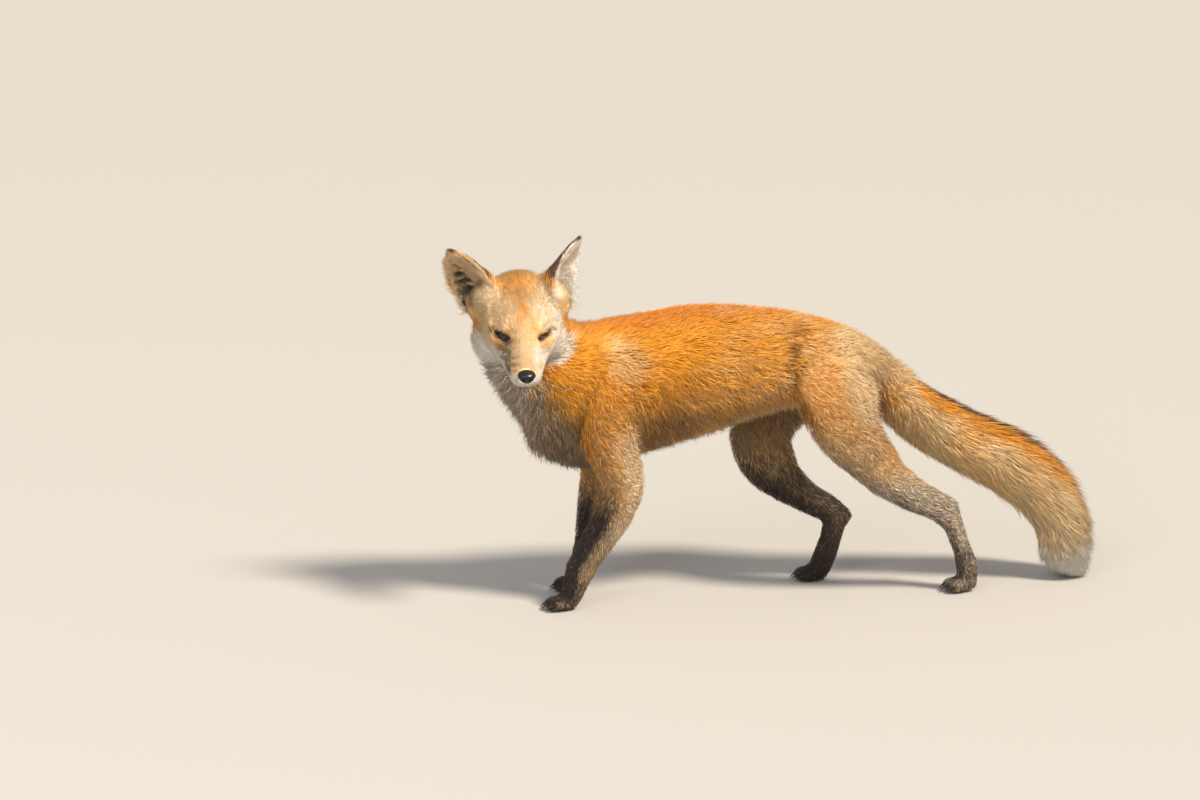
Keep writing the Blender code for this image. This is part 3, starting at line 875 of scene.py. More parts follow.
# %% Mark the brush
dorsal = unit(np.stack((-lie[:, 2], np.zeros(len(lie)), lie[:, 0]), axis=1))
on_top = np.sum(dorsal * here.normals, axis=1)
paint(tail * ramp(on_top, 0.84, 0.40), straw=0.66 + 0.12 * ripple(60, 3))
paint(tail * ramp(z, 0.17, 0.06), straw=0.45)
paint(tail * ramp(z, 0.15, 0.06), snow=0.32)
paint(tail * ramp(on_top, 0.45, 0.85), rust=0.12)
paint(tail * ramp(on_top, 0.86, 1.00) * ramp(x, 0.135, 0.185), soot=0.85)
paint(tail * ramp(z, 0.05, 0.10), grizzle=0.07 + 0.15 * ramp(on_top, 0.2, -0.6))
tip = tail * ramp(z, 0.070, 0.050)
paint(tip, snow=1)
wipe(tip, soot=0.9, grizzle=1, rust=1)

# %% [markdown]
# ## Face
#
# Muzzle, cheeks and chin are white, with sandy brows on each side of an orange blaze. The
# left side of the face, which the key lamp reaches, is painted whiter on the cheek, brow, temple
# and bridge as painted light, and the right side gets painted shade down the muzzle and below
# the eye. All of it is laid out in the skull's axes, most of it mirrored from one side to the
# other.

# %% Mark the face
right_side = ramp(sy, 0.004, -0.004)
left_side = ramp(sy, -0.01, 0.01)
lip_top = -0.004 - 0.10 * (0.09 - sx)
lips = ramp(sz, lip_top, lip_top - 0.009)
# White cheeks; the white reaches higher on the left cheek than the right, as painted light on the
# left and painted shade on the right.
cheek_white = ramp(cheek, 0.028, 0.041) * ramp(sz - (0.006 + 0.014 * left_side), 0.004, -0.012)
cheek_white *= ramp(sx, -0.012, 0.012)
side_white = ramp(cheek, 0.018, 0.024) * ramp(sz, 0.006, -0.003) * ramp(sx, 0.010, 0.030)
white_below = np.max((lips, cheek_white, side_white), axis=0) * ramp(sx, -0.035, 0.0)
paint(head * white_below, snow=0.97)

face = head * ramp(sx, -0.075, -0.030)
brow = spot(mirrored, (0.024, 0.028, 0.030), (0.026, 0.026, 0.024))
paint(head * ramp(sx, -0.075, -0.040) * ramp(sz, 0.015, 0.035), straw=0.42)
paint(face * ramp(sx, -0.020, 0.022), straw=0.50 + 0.45 * brow)
blaze = ramp(cheek + 0.004 * ripple(14, 2), 0.018, 0.002) * ramp(sx, 0.046, 0.026)
wipe(head * blaze, straw=0.62)
# Frosted brows, whiter on the left as painted light.
paint(face * brow, snow=0.20 + 0.25 * ramp(sy, -0.005, 0.010))
paint(head * spot(mirrored, (0.0, 0.034, 0.044), (0.018, 0.016, 0.020)), snow=0.35, straw=0.5)
paint(head * spot(mirrored, (0.048, 0.0, 0.018), (0.018, 0.014, 0.014)), straw=0.35)

# The temples, and the bridge of the muzzle; both are whiter on the left side as painted light.
temple = head * ramp(cheek, 0.030, 0.040) * ramp(sz, 0.045, 0.030) * ramp(sz, 0.0, 0.012)
paint(temple, straw=0.8 * ramp(sx, -0.070, -0.030),
      snow=0.45 * ramp(sx, -0.010, 0.010) * left_side)
bridge = head * ramp(sx, 0.046, 0.058) * ramp(sz, -0.012, -0.002)
paint(bridge, straw=0.45, rust=0.20, snow=0.20 + 0.60 * ramp(sy, 0.004, 0.018))

# %% Mark the eyes' corners, the muzzle and the mouth
# A rusty patch lies below each eye, redder on the left and darkened on the right as painted shade,
# and smudges beside the muzzle.
under_eye = head * spot(mirrored, (0.044, 0.0295, 0.0065), (0.010, 0.009, 0.008))
paint(under_eye, rust=0.45 + 0.25 * ramp(sy, 0.0, 0.004), soot=0.20 * right_side, straw=0.12)
wipe(under_eye, snow=0.85)
smudge = 0.22 * head * np.maximum(
    stripe(mirrored, 9 * MM, (0.050, 0.0185, 0.008), (0.064, 0.021, -0.004)),
    stripe(mirrored, 7 * MM, (0.064, 0.021, -0.004), (0.081, 0.018, -0.009)),
)
# Painted shade down the right side of the muzzle from the inner corner of the eye, browned with
# rust and grizzle.
painted_shade_on_right_face = np.maximum(
    stripe(here.skull, 0.0145, (0.045, -0.020, 0.009), (0.058, -0.022, 0.001),
           (0.080, -0.015, -0.005)),
    0.55 * stripe(here.skull, 0.012, (0.044, -0.012, 0.019), (0.068, -0.013, 0.002)),
)
painted_shade_on_right_face = head * np.clip(painted_shade_on_right_face * (0.8 + 0.5 * ripple(9, 12)), 0, 1)
paint(painted_shade_on_right_face, rust=0.5, grizzle=0.5)
corner = head * stripe(mirrored, 0.0045, (0.036, 0.035, 0.0145), (0.0255, 0.0425, 0.0118))
wipe(corner, straw=0.5)
# Part of the painted shade on the right side of the face is added to the smudges, and with the
# eyes' corner lines they are painted black.
smudge = np.maximum(smudge + 0.42 * painted_shade_on_right_face, corner * (0.45 + 0.40 * right_side))
mouth = head * ramp(np.abs(sz - mouth_line(sx)), 1.9 * MM, 0.9 * MM) * ramp(sx, 0.046, 0.056)
for dark in (smudge, mouth):
    paint(dark, soot=1)
    wipe(dark, snow=1)
say("face marked")

# %% [markdown]
# ## Rims of the eyes, and the ears
#
# Short black hair rims each eye, and the lids' edges and the nose are bare. The ears are
# black behind and cream inside, with a pale rim, and their hollow is darkened as painted shade.
# The left ear turns its inside to the side and looks white, while the right one opens forwards:
# its inside is painted less white, with a deep painted shade in its hollow.

# %% Mark the rims of the eyes
bare = ramp(np.linalg.norm(here.skull - np.array(nose_place), axis=1), 11 * MM, 9 * MM)
for side in SIDES:
    _, along, across = in_axes(here.places, eye_axes(side).inverted()).T
    near = np.linalg.norm(here.places - np.array(middle("eye_" + side)), axis=1) < EYE_REACH
    edge = np.hypot(np.maximum(np.abs(along) - LID_HALF_LENGTH, 0),
                    np.maximum(np.abs(across) - half_opening(along, side), 0))
    rim = near * ramp(edge, 3.2 * MM + 1.0 * MM * (across > 0), 1.3 * MM)
    bare = np.maximum(bare, near * ramp(edge, 1.7 * MM, 0.9 * MM))
    paint(rim, soot=1)
    wipe(rim, snow=1, straw=1)
say(f"{np.count_nonzero(bare > 0.5)} points of the skin are bare")

# %% The axes and the looks of the ears
EAR_ROOT = (-20 * MM, 46 * MM, 23 * MM)
EAR_LENGTH = 92 * MM
# How far each ear is tipped out, leans back and turns its opening outwards, in degrees.
EAR_TURNS = {"left": (19, 12, 50), "right": (28, 0, 20)}
# How far round the rim the black starts and ends, how strong each marking is, and how far
# the fringe of the outer rim hangs down the ear.
# In the looks, dark is the strength of the painted shade in the hollow, and hides is how much of
# the inner white that shade covers. The right ear, which opens forwards, gets more painted shade
# and less white.
EAR_LOOKS = {
    "left": {"black": (0.35, 0.75), "foot": 0.45, "dark": 0.10, "white": 0.95, "hides": 0.2,
             "rim": 0.9, "hang": 0.9},
    "right": {"black": (0.72, 0.97), "foot": 0.2, "dark": 0.98, "white": 0.30, "hides": 0.7,
              "rim": 0.1, "hang": -0.2},
}


def ear_axes(side):
    """From an ear's own axes, z up it and x out of its opening, to the fox's."""
    sign = SIDES[side]
    splay, lean, swivel = EAR_TURNS[side]
    return (
        skull_axes
        @ Matrix.Translation((EAR_ROOT[0], sign * EAR_ROOT[1], EAR_ROOT[2]))
        @ Matrix.Rotation(math.radians(-sign * splay), 4, "X")
        @ Matrix.Rotation(math.radians(-lean), 4, "Y")
        @ Matrix.Rotation(math.radians(sign * swivel), 4, "Z")
    )


# %% Mark the ears
ear_hair = []
for side, look in EAR_LOOKS.items():
    ear = here.share("ear_" + side, rounds=1)
    ex, ey, ez = in_axes(here.places, ear_axes(side).inverted()).T
    facing = here.normals @ np.array(ear_axes(side))[:3, :3]
    inwards = -(facing[:, 0] * ex + facing[:, 1] * ey) / (np.hypot(ex, ey) + 1e-6)
    inside = ear * ramp(inwards, 0.1, 0.5)
    height = ez / EAR_LENGTH
    lateral = SIDES[side] * ey / (0.5 * EAR_LENGTH * np.clip(1 - height, 0.15, 0.6))
    edge_hair = ear * ramp(np.abs(inwards), *look["black"][::-1]) * ramp(height, 0.95, 0.85)
    # The hollow of the ear, darkened below as painted shade.
    hollow_painted_shade = inside * ramp(lateral, -0.05, 0.3) * ramp(lateral, 1.0, 0.7)
    hollow_painted_shade *= ramp(height, 0.78, 0.60)
    pale = np.maximum(inside, edge_hair)
    paint(ear * (1 - inside) * (1 - edge_hair) * ramp(height, 0.15, 0.42), soot=0.95)
    paint(ear * ramp(height, 0.32, 0.12), straw=0.7, snow=look["foot"])
    paint(hollow_painted_shade * (1 - 0.6 * edge_hair) * (0.75 + 0.5 * ripple(12, 9)), soot=look["dark"])
    paint(pale, straw=0.75, snow=look["white"] * (1 - look["hides"] * hollow_painted_shade))
    wipe(inside, rust=1)
    medial = inside * ramp(lateral, 0.2, -0.6)
    if side == "left":
        fringe = ramp(height, 0.50, 0.25)
    else:
        fringe = ramp(height, 0.15, 0.35) * ramp(height, 0.90, 0.75) * 0.8
    fringe = fringe * ear * ramp(lateral, 0.45, 0.80)
    paint(fringe, snow=look["rim"])
    wipe(fringe, soot=1)
    ear_hair.append((inside, medial, fringe, height))
say("ears marked")

# %% Dapple the whole, and even it out
dapple = head * 0.22 * ripple(10, 6) + trunk * 0.12 * ripple(28, 7)
paint(dapple * (marks["straw"] > 0.02), straw=1)
for name, values in marks.items():
    marks[name] = np.clip(soften(values, here.average, 1), 0, 1)
say("markings: " + ", ".join(f"{name} {values.mean():.2f}" for name, values in marks.items()))

# %% [markdown]
# ## What fox hair looks like
#
# Hair is keratin: a smooth, slightly waxy fibre with an index of about 1.55, whose overlapping
# scales keep its gloss broad and soft. The undercoat near the skin is dull, and each guard
# hair grows brighter towards its tip, unless the tip is dark. One function mixes the colours
# from the markings, and both the skin and the hair use it.

# %% The colours of the coat, from its markings
HAIR_INDEX = 1.55


def mix(material, share, first, second, blend="MIX"):
    """A colour between two others."""
    settings = {"data_type": "RGBA", "blend_type": blend}
    return add(material, "ShaderNodeMix", settings, i0=share, i6=first, i7=second).outputs[2]


def read(material, name):
    """A number that the mesh holds at each point."""
    return add(material, "ShaderNodeAttribute", {"attribute_name": name}).outputs["Fac"]


def coat_colour(material, darkness):
    """The colour of the hair from root to tip, with every marking."""
    along = read(material, "along")
    fox = mix(material, along, linear("D07A0E"), linear("FFB630"))
    rufous = mix(material, along, linear("A95218"), linear("EE8F33"))
    blond = mix(material, along, linear("E0B070"), linear("FFE4B2"))
    white = mix(material, along, linear("E0D4C2"), linear("FFFAF2"))
    black = mix(material, along, linear("2A201B"), linear("443A38"))
    colour = mix(material, read(material, "rust"), fox, rufous)
    colour = mix(material, read(material, "straw"), colour, blond)
    colour = mix(material, read(material, "snow"), colour, white)
    tip = add(material, "ShaderNodeMath", {"operation": "MULTIPLY"},
              i0=read(material, "grizzle"), i1=along).outputs[0]
    colour = mix(material, tip, colour, linear("4A3423"))
    colour = mix(material, read(material, "soot"), colour, black)
    tint = add(material, "ShaderNodeMapRange", i0=read(material, "tint"), To_Min=darkness,
               To_Max=1.0).outputs[0]
    return mix(material, 1.0, colour, tint, "MULTIPLY")


# %% Hair, from its colour and its gloss
def new_material(name, roughness, index):
    """A Principled material, and its shader node."""
    material = bpy.data.materials.new(name)
    material.use_nodes = True
    shader = material.node_tree.nodes["Principled BSDF"]
    shader.inputs["Roughness"].default_value = roughness
    shader.inputs["IOR"].default_value = index
    return material, shader


def hair_material(name, roughness, darkness):
    """Guard hair. The gloss is broad, and a thin sheen stands for the fluff between locks."""
    material, shader = new_material(name, roughness, HAIR_INDEX)
    material.node_tree.links.new(coat_colour(material, darkness), shader.inputs["Base Color"])
    shader.inputs["Specular IOR Level"].default_value = 0.2
    shader.inputs["Sheen Weight"].default_value = 0.06
    shader.inputs["Sheen Roughness"].default_value = 0.5
    return material


# Short hair scatters more light than long hair, so the face and legs are duller than the
# back. The darkness is how dark a lock in shade may be: least on the sleek face and brush.
body_hair = hair_material("guard hair", 0.50, 0.72)
face_hair = hair_material("velvet of the face", 0.62, 0.88)
leg_hair = hair_material("stocking hair", 0.58, 0.60)
brush_hair = hair_material("hair of the brush", 0.52, 0.86)
say("four kinds of hair, each from root to tip")

# %% The skin between the locks
# The skin shows only between the locks, so it is the same coat, short, dull and in shade,
# with fine furrows a hair's lock apart.
FURROW = 1.6 * MM

under, under_shader = new_material("skin with its short undercoat", 0.8, 1.45)
under.node_tree.links.new(coat_colour(under, 0.6), under_shader.inputs["Base Color"])
place = add(under, "ShaderNodeTexCoord").outputs["Object"]
furrows = add(under, "ShaderNodeTexNoise", Vector=place, Scale=1 / FURROW, Detail=3.0)
furrow_bump = add(under, "ShaderNodeBump", Strength=0.5, Distance=0.4 * MM,
                  Height=furrows.outputs["Fac"])
under.node_tree.links.new(furrow_bump.outputs[0], under_shader.inputs["Normal"])


def store(mesh, name, values):
    """Keeps a number at each point of a mesh for its material to read."""
    attribute = mesh.attributes.new(name, "FLOAT", "POINT")
    attribute.data.foreach_set("value", np.asarray(values, np.float32))


for name, values in marks.items():
    store(skin.data, name, values)
store(skin.data, "along", 0.30 + 0.40 * head)
store(skin.data, "tint", 0.55 + 0.45 * head - 0.35 * (trunk + neck) * ramp(z, 0.335, 0.285))
skin.data.materials.append(under)
say(f"the skin wears {under.name!r}")

# %% [markdown]
# ## A lock of hair
#
# A lock starts as a cone of three sides whose base is poked out to a point at the other end:
# a closed spindle with six faces and five points. The ring between its ends lifts it off the
# skin and the tip lies back down, so one bend is enough to make it look combed. The pattern
# is then set down at every root with NumPy, because a loop over a quarter of a million locks
# in Python would take minutes.

# %% The spindle and its patch of the map
RING = 0.42  # how far up the lock it is widest
FLATNESS = 0.45
PATCH = 0.003  # the width of a lock's patch on the map

bm = bmesh.new()
bmesh.ops.create_cone(bm, cap_ends=True, segments=3, radius1=0.5, radius2=0.0, depth=1.0)
base = min(bm.faces, key=lambda face: face.calc_center_median().z)
root_point = bmesh.ops.poke(bm, faces=[base])["verts"][0]
for vert in bm.verts:
    ring = vert.co.z < 0 and vert is not root_point
    vert.co.z = RING if ring else (0.0 if vert is root_point else 1.0)
bmesh.ops.recalc_face_normals(bm, faces=bm.faces)
bm.verts.index_update()
LOCK_POINTS = np.array([vert.co for vert in bm.verts])
LOCK_FACES = np.array([[vert.index for vert in face.verts] for face in bm.faces])
bm.free()
LOCK_PATCH = PATCH * np.stack((
    LOCK_POINTS[:, 0] * 0.8 + LOCK_POINTS[:, 1] * 0.5, LOCK_POINTS[:, 2] - 0.5,
), axis=1)
say(f"a lock has {len(LOCK_POINTS)} points and {len(LOCK_FACES)} faces")

# %% [markdown]
# ## How long, wide and steep the hair is
#
# These lengths are typical of a fox in its short summer coat: a few millimetres on the
# muzzle, about two centimetres on the back and more than four on the brush. The hair stands
# just steeply enough for its tips to reach the outline of the solids.

# %% Length and width of the locks, in millimetres
HAIR_LENGTH = {
    "head": 12.0, "neck": 23.0, "trunk": 21.0, "ear": 6.0, "tail": 26.0,
    "foreleg_left_paw": 6.0, "foreleg_right_paw": 6.0, "foreleg": 10.0,
    "hindleg_left_foot": 7.0, "hindleg_right_foot": 7.0, "hindleg": 12.0,
}
LOCK_WIDTH = {
    "head": 0.58, "neck": 0.95, "trunk": 0.95, "ear": 0.6, "tail": 1.25,
    "foreleg": 0.8, "hindleg": 0.8,
}
# How much longer the hair is in some places, and how much shorter in others.
LONGER = {"brush": 17, "upper legs": 8, "crown": 3, "forehead": 3.5, "ruff": 9}
SHORTER_ON_THE_TIP, SHORTER_ON_THE_MUZZLE = 0.40, 0.64

muzzle = head * ramp(sx, 0.018, 0.060)
forehead = head * ramp(sx, 0.050, 0.030) * ramp(sz, 0.012, 0.022) * ramp(sx, -0.05, 0.0)
ruff = head * ramp(cheek, 0.024, 0.042) * ramp(sx, 0.022, -0.006) * ramp(sz, 0.020, -0.006)
length = here.by_part(HAIR_LENGTH, rounds=14) * MM
length += tail * ramp(x, 0.150, 0.330) * LONGER["brush"] * MM
length *= 1 - SHORTER_ON_THE_TIP * tail * ramp(z, 0.075, 0.030)
upper_legs = forelegs * ramp(z, 0.14, 0.24) + hindlegs * ramp(z, 0.17, 0.26)
length += upper_legs * LONGER["upper legs"] * MM
length *= 1 - SHORTER_ON_THE_MUZZLE * muzzle
length += head * ramp(sx, 0.040, 0.0) * ramp(sz, 0.010, 0.030) * LONGER["crown"] * MM
length += forehead * LONGER["forehead"] * MM
length += ruff * LONGER["ruff"] * MM
width = here.by_part(LOCK_WIDTH, rounds=10) * MM * (1 - 0.3 * muzzle)
# The hair lies flatter on the head, in the thigh's crease, on the throat and on the withers.
steepness = np.clip(depth / length, 0.08, 0.75) * (1 - 0.35 * head) * (1 - 0.5 * crease)
steepness *= 1 - 0.45 * front_of_throat(here)
steepness *= 1 - 0.35 * (neck + trunk * ramp(x, -0.12, -0.18)) * ramp(nz, 0.2, 0.8)
say(f"hair {length.min() / MM:.0f} to {length.max() / MM:.0f} mm long")

# %% [markdown]
# ## Shaggy places, and the hair of the ears
#
# The coat is sleek on the back, and shaggy on the shoulder, the low flank, the legs and, a
# little, the head: there the locks wander, clump and differ in shade. Inside the ear, long
# hair fans out from its front rim across the hollow, and a fringe hangs from its outer rim.

# %% Where the coat is shaggy, and how the ear's hair fans out
shaggy = (trunk + neck) * ramp(z, 0.335, 0.285) + forelegs * ramp(z, 0.08, 0.16)
shaggy += hindlegs * ramp(z, 0.08, 0.14) * 0.7 + thigh * 0.1 + tail * 0.05
shaggy = np.clip(shaggy, 0, 1)
length += shaggy * (trunk + neck) * 5 * MM
shaggy = np.clip(shaggy * (1 - 0.7 * blond) + 0.55 * head * ramp(sx, 0.050, 0.020), 0, 1)

for (side, look), (inside, medial, fringe, height) in zip(EAR_LOOKS.items(), ear_hair):
    across_ear = np.array(ear_axes(side))[:3, 1] * SIDES[side]
    up_ear = np.array(ear_axes(side))[:3, 2]
    fan = across_ear + up_ear * 0.55
    hanging = across_ear - up_ear * look["hang"]
    foot_of_ear = here.share("ear_" + side, rounds=5) * (1 - inside) * ramp(height, 0.55, 0.15)
    lie += (inside * (0.35 + 0.65 * medial))[:, None] * (fan - lie)
    lie += fringe[:, None] * (hanging - lie)
    length += (inside * medial * 11 * ramp(height, 1.0, 0.6) + foot_of_ear * 8 + fringe * 6) * MM
    steepness += inside * medial * 0.22 + fringe * 0.25 + foot_of_ear * 0.24
lie = unit(lie)
say(f"{shaggy.mean():.0%} of the coat is shaggy")

# %% [markdown]
# ## Growing the coat
#
# Roots are strewn over the skin so that every face gets its share by area, which leaves no
# bald spots. Each coat piece has its own unwrapped map of the skin below it, and every lock
# is one tiny patch there.

# %% Unwrapping
MAP_MARGIN = 0.005  # left free along each side of the square
faces_of_skin = [tuple(face.vertices) for face in skin.data.polygons]
skin_points = KDTree(len(here.places))
for index, place in enumerate(here.places):
    skin_points.insert(place, index)
skin_points.balance()


def unwrap(piece):
    """Gives a piece a map named OFBake, by its own shape, that fills the square."""
    for layer in list(piece.data.uv_layers):
        piece.data.uv_layers.remove(layer)
    piece.data.uv_layers.new(name="OFBake")
    bpy.context.view_layer.objects.active = piece
    piece.select_set(True)
    bpy.ops.object.mode_set(mode="EDIT")
    bpy.ops.mesh.select_all(action="SELECT")
    bpy.ops.uv.smart_project(angle_limit=math.radians(66), island_margin=0.001)
    bpy.ops.object.mode_set(mode="OBJECT")
    piece.select_set(False)
    uv = array_of(piece.data.uv_layers["OFBake"].uv, "vector", 2)
    low, high = uv.min(axis=0), uv.max(axis=0)
    uv = MAP_MARGIN + (uv - low) / (high - low) * (1 - 2 * MAP_MARGIN)
    piece.data.uv_layers["OFBake"].uv.foreach_set("vector", uv.astype(np.float32).ravel())


unwrap(skin)
say(f"the map of the skin has {len(skin.data.loops)} corners")


# %% One region, and its roots
def region_mesh(name, chosen):
    """The part of the skin that lies below one coat piece, with an unwrapped map."""
    bm = bmesh.new()
    bm.from_mesh(skin.data)
    keep = set(chosen.tolist())
    bmesh.ops.delete(bm, geom=[f for f in bm.faces if f.index not in keep], context="FACES")
    bmesh.ops.triangulate(bm, faces=bm.faces)
    patch = add_object(name + "_region", bm)
    unwrap(patch)
    return patch


def strew(patch, count, draws, density):
    """Roots on a region: their three corners, their weights and their place on the map."""
    mesh = patch.data
    mesh.calc_loop_triangles()
    corners = array_of(mesh.loop_triangles, "vertices", 3, np.int32)
    loops = array_of(mesh.loop_triangles, "loops", 3, np.int32)
    areas = array_of(mesh.loop_triangles, "area", 1)
    wanted = np.cumsum(areas * density[corners].mean(axis=1))
    picks = (np.arange(count) + draws.uniform(size=count)) / count * wanted[-1]
    chosen = np.minimum(np.searchsorted(wanted, picks), len(wanted) - 1)
    # Two random shares reach every place in a triangle, once those past it are folded back.
    a, b = draws.uniform(size=(2, count))
    a, b = np.where(a + b > 1, 1 - a, a), np.where(a + b > 1, 1 - b, b)
    weights = np.stack((1 - a - b, a, b), axis=1)
    uv = array_of(mesh.uv_layers["OFBake"].uv, "vector", 2)
    on_map = np.einsum("ij,ijk->ik", weights, uv[loops[chosen]])
    return corners[chosen], weights, on_map



# %% [markdown]
# ## Combing
#
# Each lock follows the lie of the coat, with a swirl of its own. Neighbouring hairs clump:
# the tips are drawn up the slope of a smooth random field, which gathers them into locks
# and opens partings between them. Hair that would reach through the floor rests on it.

# %% Bending the locks
CLUMP = 10 * MM  # from one clump of locks to the next
BURIED = 0.3 * MM  # how far a root starts below the skin


def comb(at_roots, count, draws):
    """The five points of every lock, from what the skin holds at its root."""
    # What the skin says at each root, and how far one lock strays from it.
    roots = at_roots(here.places)
    normal = unit(at_roots(here.normals))
    way = lay_flat(at_roots(lie), normal)
    sideways = np.cross(normal, way)
    long = at_roots(length) * draws.uniform(0.70, 1.18, count)
    wide = at_roots(width) * draws.uniform(0.75, 1.25, count)
    steep = at_roots(steepness) * draws.uniform(0.72, 1.12, count)
    rough = at_roots(shaggy)
    # The lie turns with long and short waves, and each lock turns a little by chance.
    swirl = 0.16 * wavering(roots, 70 * MM, 5)[0]
    swirl += draws.normal(0, 1, count) * (0.13 + 0.20 * rough)
    swirl += (0.12 + 0.26 * rough) * wavering(roots, 20 * MM, 6)[0]
    way = way * np.cos(swirl)[:, None] + sideways * np.sin(swirl)[:, None]
    sideways = np.cross(normal, way)
    # The tips of neighbours lean up the same slope, and so they meet.
    slope = wavering(roots, CLUMP, 11)[1]
    slope -= normal * np.sum(slope * normal, axis=1, keepdims=True)
    gather = slope * (0.10 + 0.13 * rough)[:, None]
    lift = np.minimum(steep * 1.5, 0.9)

    def rise(steep):
        """The direction that stands that steeply off the skin."""
        return way * np.sqrt(1 - steep ** 2)[:, None] + normal * steep[:, None]

    tips = roots + (rise(steep) + gather) * long[:, None]
    middles = roots + (RING * rise(lift) + 0.15 * gather) * long[:, None]
    # Tips at the floor rest on it, one on top of the other.
    resting = (0.6 + 2.4 * draws.uniform(size=count)) * MM
    for points in (tips, middles):
        points[:, 2] = np.maximum(points[:, 2], resting)
    # The pattern's own height says whether a point is at the root, on the ring or at the tip.
    t = LOCK_POINTS[:, 2][None, :, None]
    line = np.where(t > 0.99, tips[:, None], middles[:, None])
    line = np.where(t < 0.01, (roots - normal * BURIED)[:, None], line)
    aside, above = (LOCK_POINTS[None, :, 1, None], -LOCK_POINTS[None, :, 0, None] * FLATNESS)
    points = line + (sideways[:, None] * aside + normal[:, None] * above) * wide[:, None, None]
    points[:, :, 2] = np.maximum(points[:, :, 2], 0.2 * MM)
    return points.reshape(-1, 3)


# %% [markdown]
# ## Colouring
#
# Real markings are made of single hairs that are one colour or the other, so at the edge of
# a marking a lock takes it or not by chance. How wide that edge is differs: white and orange
# part cleanly, and grizzle is scattered everywhere. Each lock also has its own shade.

# %% Colours by chance
SPREAD = {"snow": 0.5, "soot": 0.75, "straw": 0.28, "rust": 0.35, "grizzle": 1.0}


def colour_locks(mesh, at_roots, count, draws):
    """Stores the markings and the shade of every lock at its points."""

    def keep(name, values):
        store(mesh, name, np.repeat(values, len(LOCK_POINTS)))

    rough = at_roots(shaggy)
    luck = draws.uniform(size=(len(marks), count))
    for chance, (mark, values) in zip(luck, marks.items()):
        spread = SPREAD[mark] + (0.6 * rough if mark == "straw" else 0)
        keep(mark, ramp(at_roots(values) + spread * (chance - 0.5), 0.15, 0.85))
    tint = 0.70 + draws.normal(0, 1, count) * (0.13 + 0.14 * rough)
    # Locks in the painted light on the near upper foreleg are lighter still.
    tint += 0.13 * wavering(at_roots(here.places), 13 * MM, 8)[0] + 0.25 * at_roots(painted_light_on_foreleg)
    keep("tint", np.clip(tint, 0, 1))
    up_the_lock = np.tile(np.clip(LOCK_POINTS[:, 2] * 1.05, 0, 1), count)
    pale_root = np.repeat(0.45 * at_roots(head), len(LOCK_POINTS))
    store(mesh, "along", np.maximum(pale_root, up_the_lock))


# %% One finished coat piece
def grow(name, chosen, count, material, seed):
    """One coat piece: locks over the chosen faces of the skin."""
    draws = np.random.default_rng(seed)
    patch = region_mesh(name, chosen)
    spots = array_of(patch.data.vertices, "co", 3).astype(float)
    origin = np.array([skin_points.find(place)[1] for place in spots])
    # Long, wide locks cover more of the skin, so they grow further apart.
    density = ((1 - bare) / (length * width) ** 0.8)[origin]
    at, weights, on_map = strew(patch, count, draws, density)
    at = origin[at]

    def at_roots(values):
        """Values of the skin's points, read at the roots."""
        if values.ndim == 1:
            return np.sum(values[at] * weights, axis=1)
        return np.einsum("ij,ijk->ik", weights, values[at])

    mesh = bpy.data.meshes.new(name)
    points = comb(at_roots, count, draws)
    faces = LOCK_FACES[None] + np.arange(count)[:, None, None] * len(LOCK_POINTS)
    faces = faces.reshape(-1).astype(np.int32)
    mesh.vertices.add(len(points))
    mesh.vertices.foreach_set("co", points.astype(np.float32).ravel())
    mesh.loops.add(len(faces))
    mesh.loops.foreach_set("vertex_index", faces)
    mesh.polygons.add(len(faces) // 3)
    mesh.polygons.foreach_set("loop_start", np.arange(0, len(faces), 3, dtype=np.int32))
    mesh.update(calc_edges=True)
    mesh.shade_smooth()
    patches = (np.clip(on_map, PATCH, 1 - PATCH)[:, None] + LOCK_PATCH[None]).reshape(-1, 2)
    layer = mesh.uv_layers.new(name="OFBake")
    layer.uv.foreach_set("vector", patches[faces].astype(np.float32).ravel())
    colour_locks(mesh, at_roots, count, draws)
    mesh.materials.append(material)
    piece = bpy.data.objects.new(name, mesh)
    bpy.context.scene.collection.objects.link(piece)
    bpy.data.objects.remove(patch)
    say(f"{name}: {count} locks, {len(mesh.polygons)} faces")
    return piece


# %% The coat, region by region
face_owner = here.owner[[face[0] for face in faces_of_skin]]
face_middle = np.array([here.places[list(face)].mean(axis=0) for face in faces_of_skin])
face_front = in_axes(face_middle, to_skull)[:, 0]


def faces_on(*beginnings):
    """Which faces of the skin lie on the parts named so."""
    chosen = [i for i, node in enumerate(flesh_nodes) if node.startswith(beginnings)]
    return np.isin(face_owner, chosen)


on_head, on_trunk = faces_on("head"), faces_on("trunk")
FRONT_OF_FACE = 0.012
SADDLE = -0.09
coats = [
    ("coat_face", on_head & (face_front > FRONT_OF_FACE), 33000, face_hair, "white_hair"),
    ("coat_crown", on_head & (face_front <= FRONT_OF_FACE), 26000, face_hair, "red_hair"),
    ("coat_ears", faces_on("ear"), 17000, face_hair, "red_hair"),
    ("coat_neck", faces_on("neck"), 26000, body_hair, "red_hair"),
    ("coat_shoulders", on_trunk & (face_middle[:, 0] < SADDLE), 26000, body_hair, "red_hair"),
    ("coat_loins", on_trunk & (face_middle[:, 0] >= SADDLE), 26000, body_hair, "red_hair"),
    ("coat_tail_root", faces_on("tail_root", "tail_middle"), 25000, brush_hair, "red_hair"),
    ("coat_tail_tip", faces_on("tail_tip"), 13000, brush_hair, "white_hair"),
    ("coat_forelegs", faces_on("foreleg"), 27000, leg_hair, "stocking_hair"),
    ("coat_hindlegs", faces_on("hindleg"), 30000, leg_hair, "stocking_hair"),
]
pieces = {"skin": (skin, "red_hair")}
for seed, (name, where, count, material, slot) in enumerate(coats):
    pieces[name] = (grow(name, np.flatnonzero(where), count, material, seed), slot)

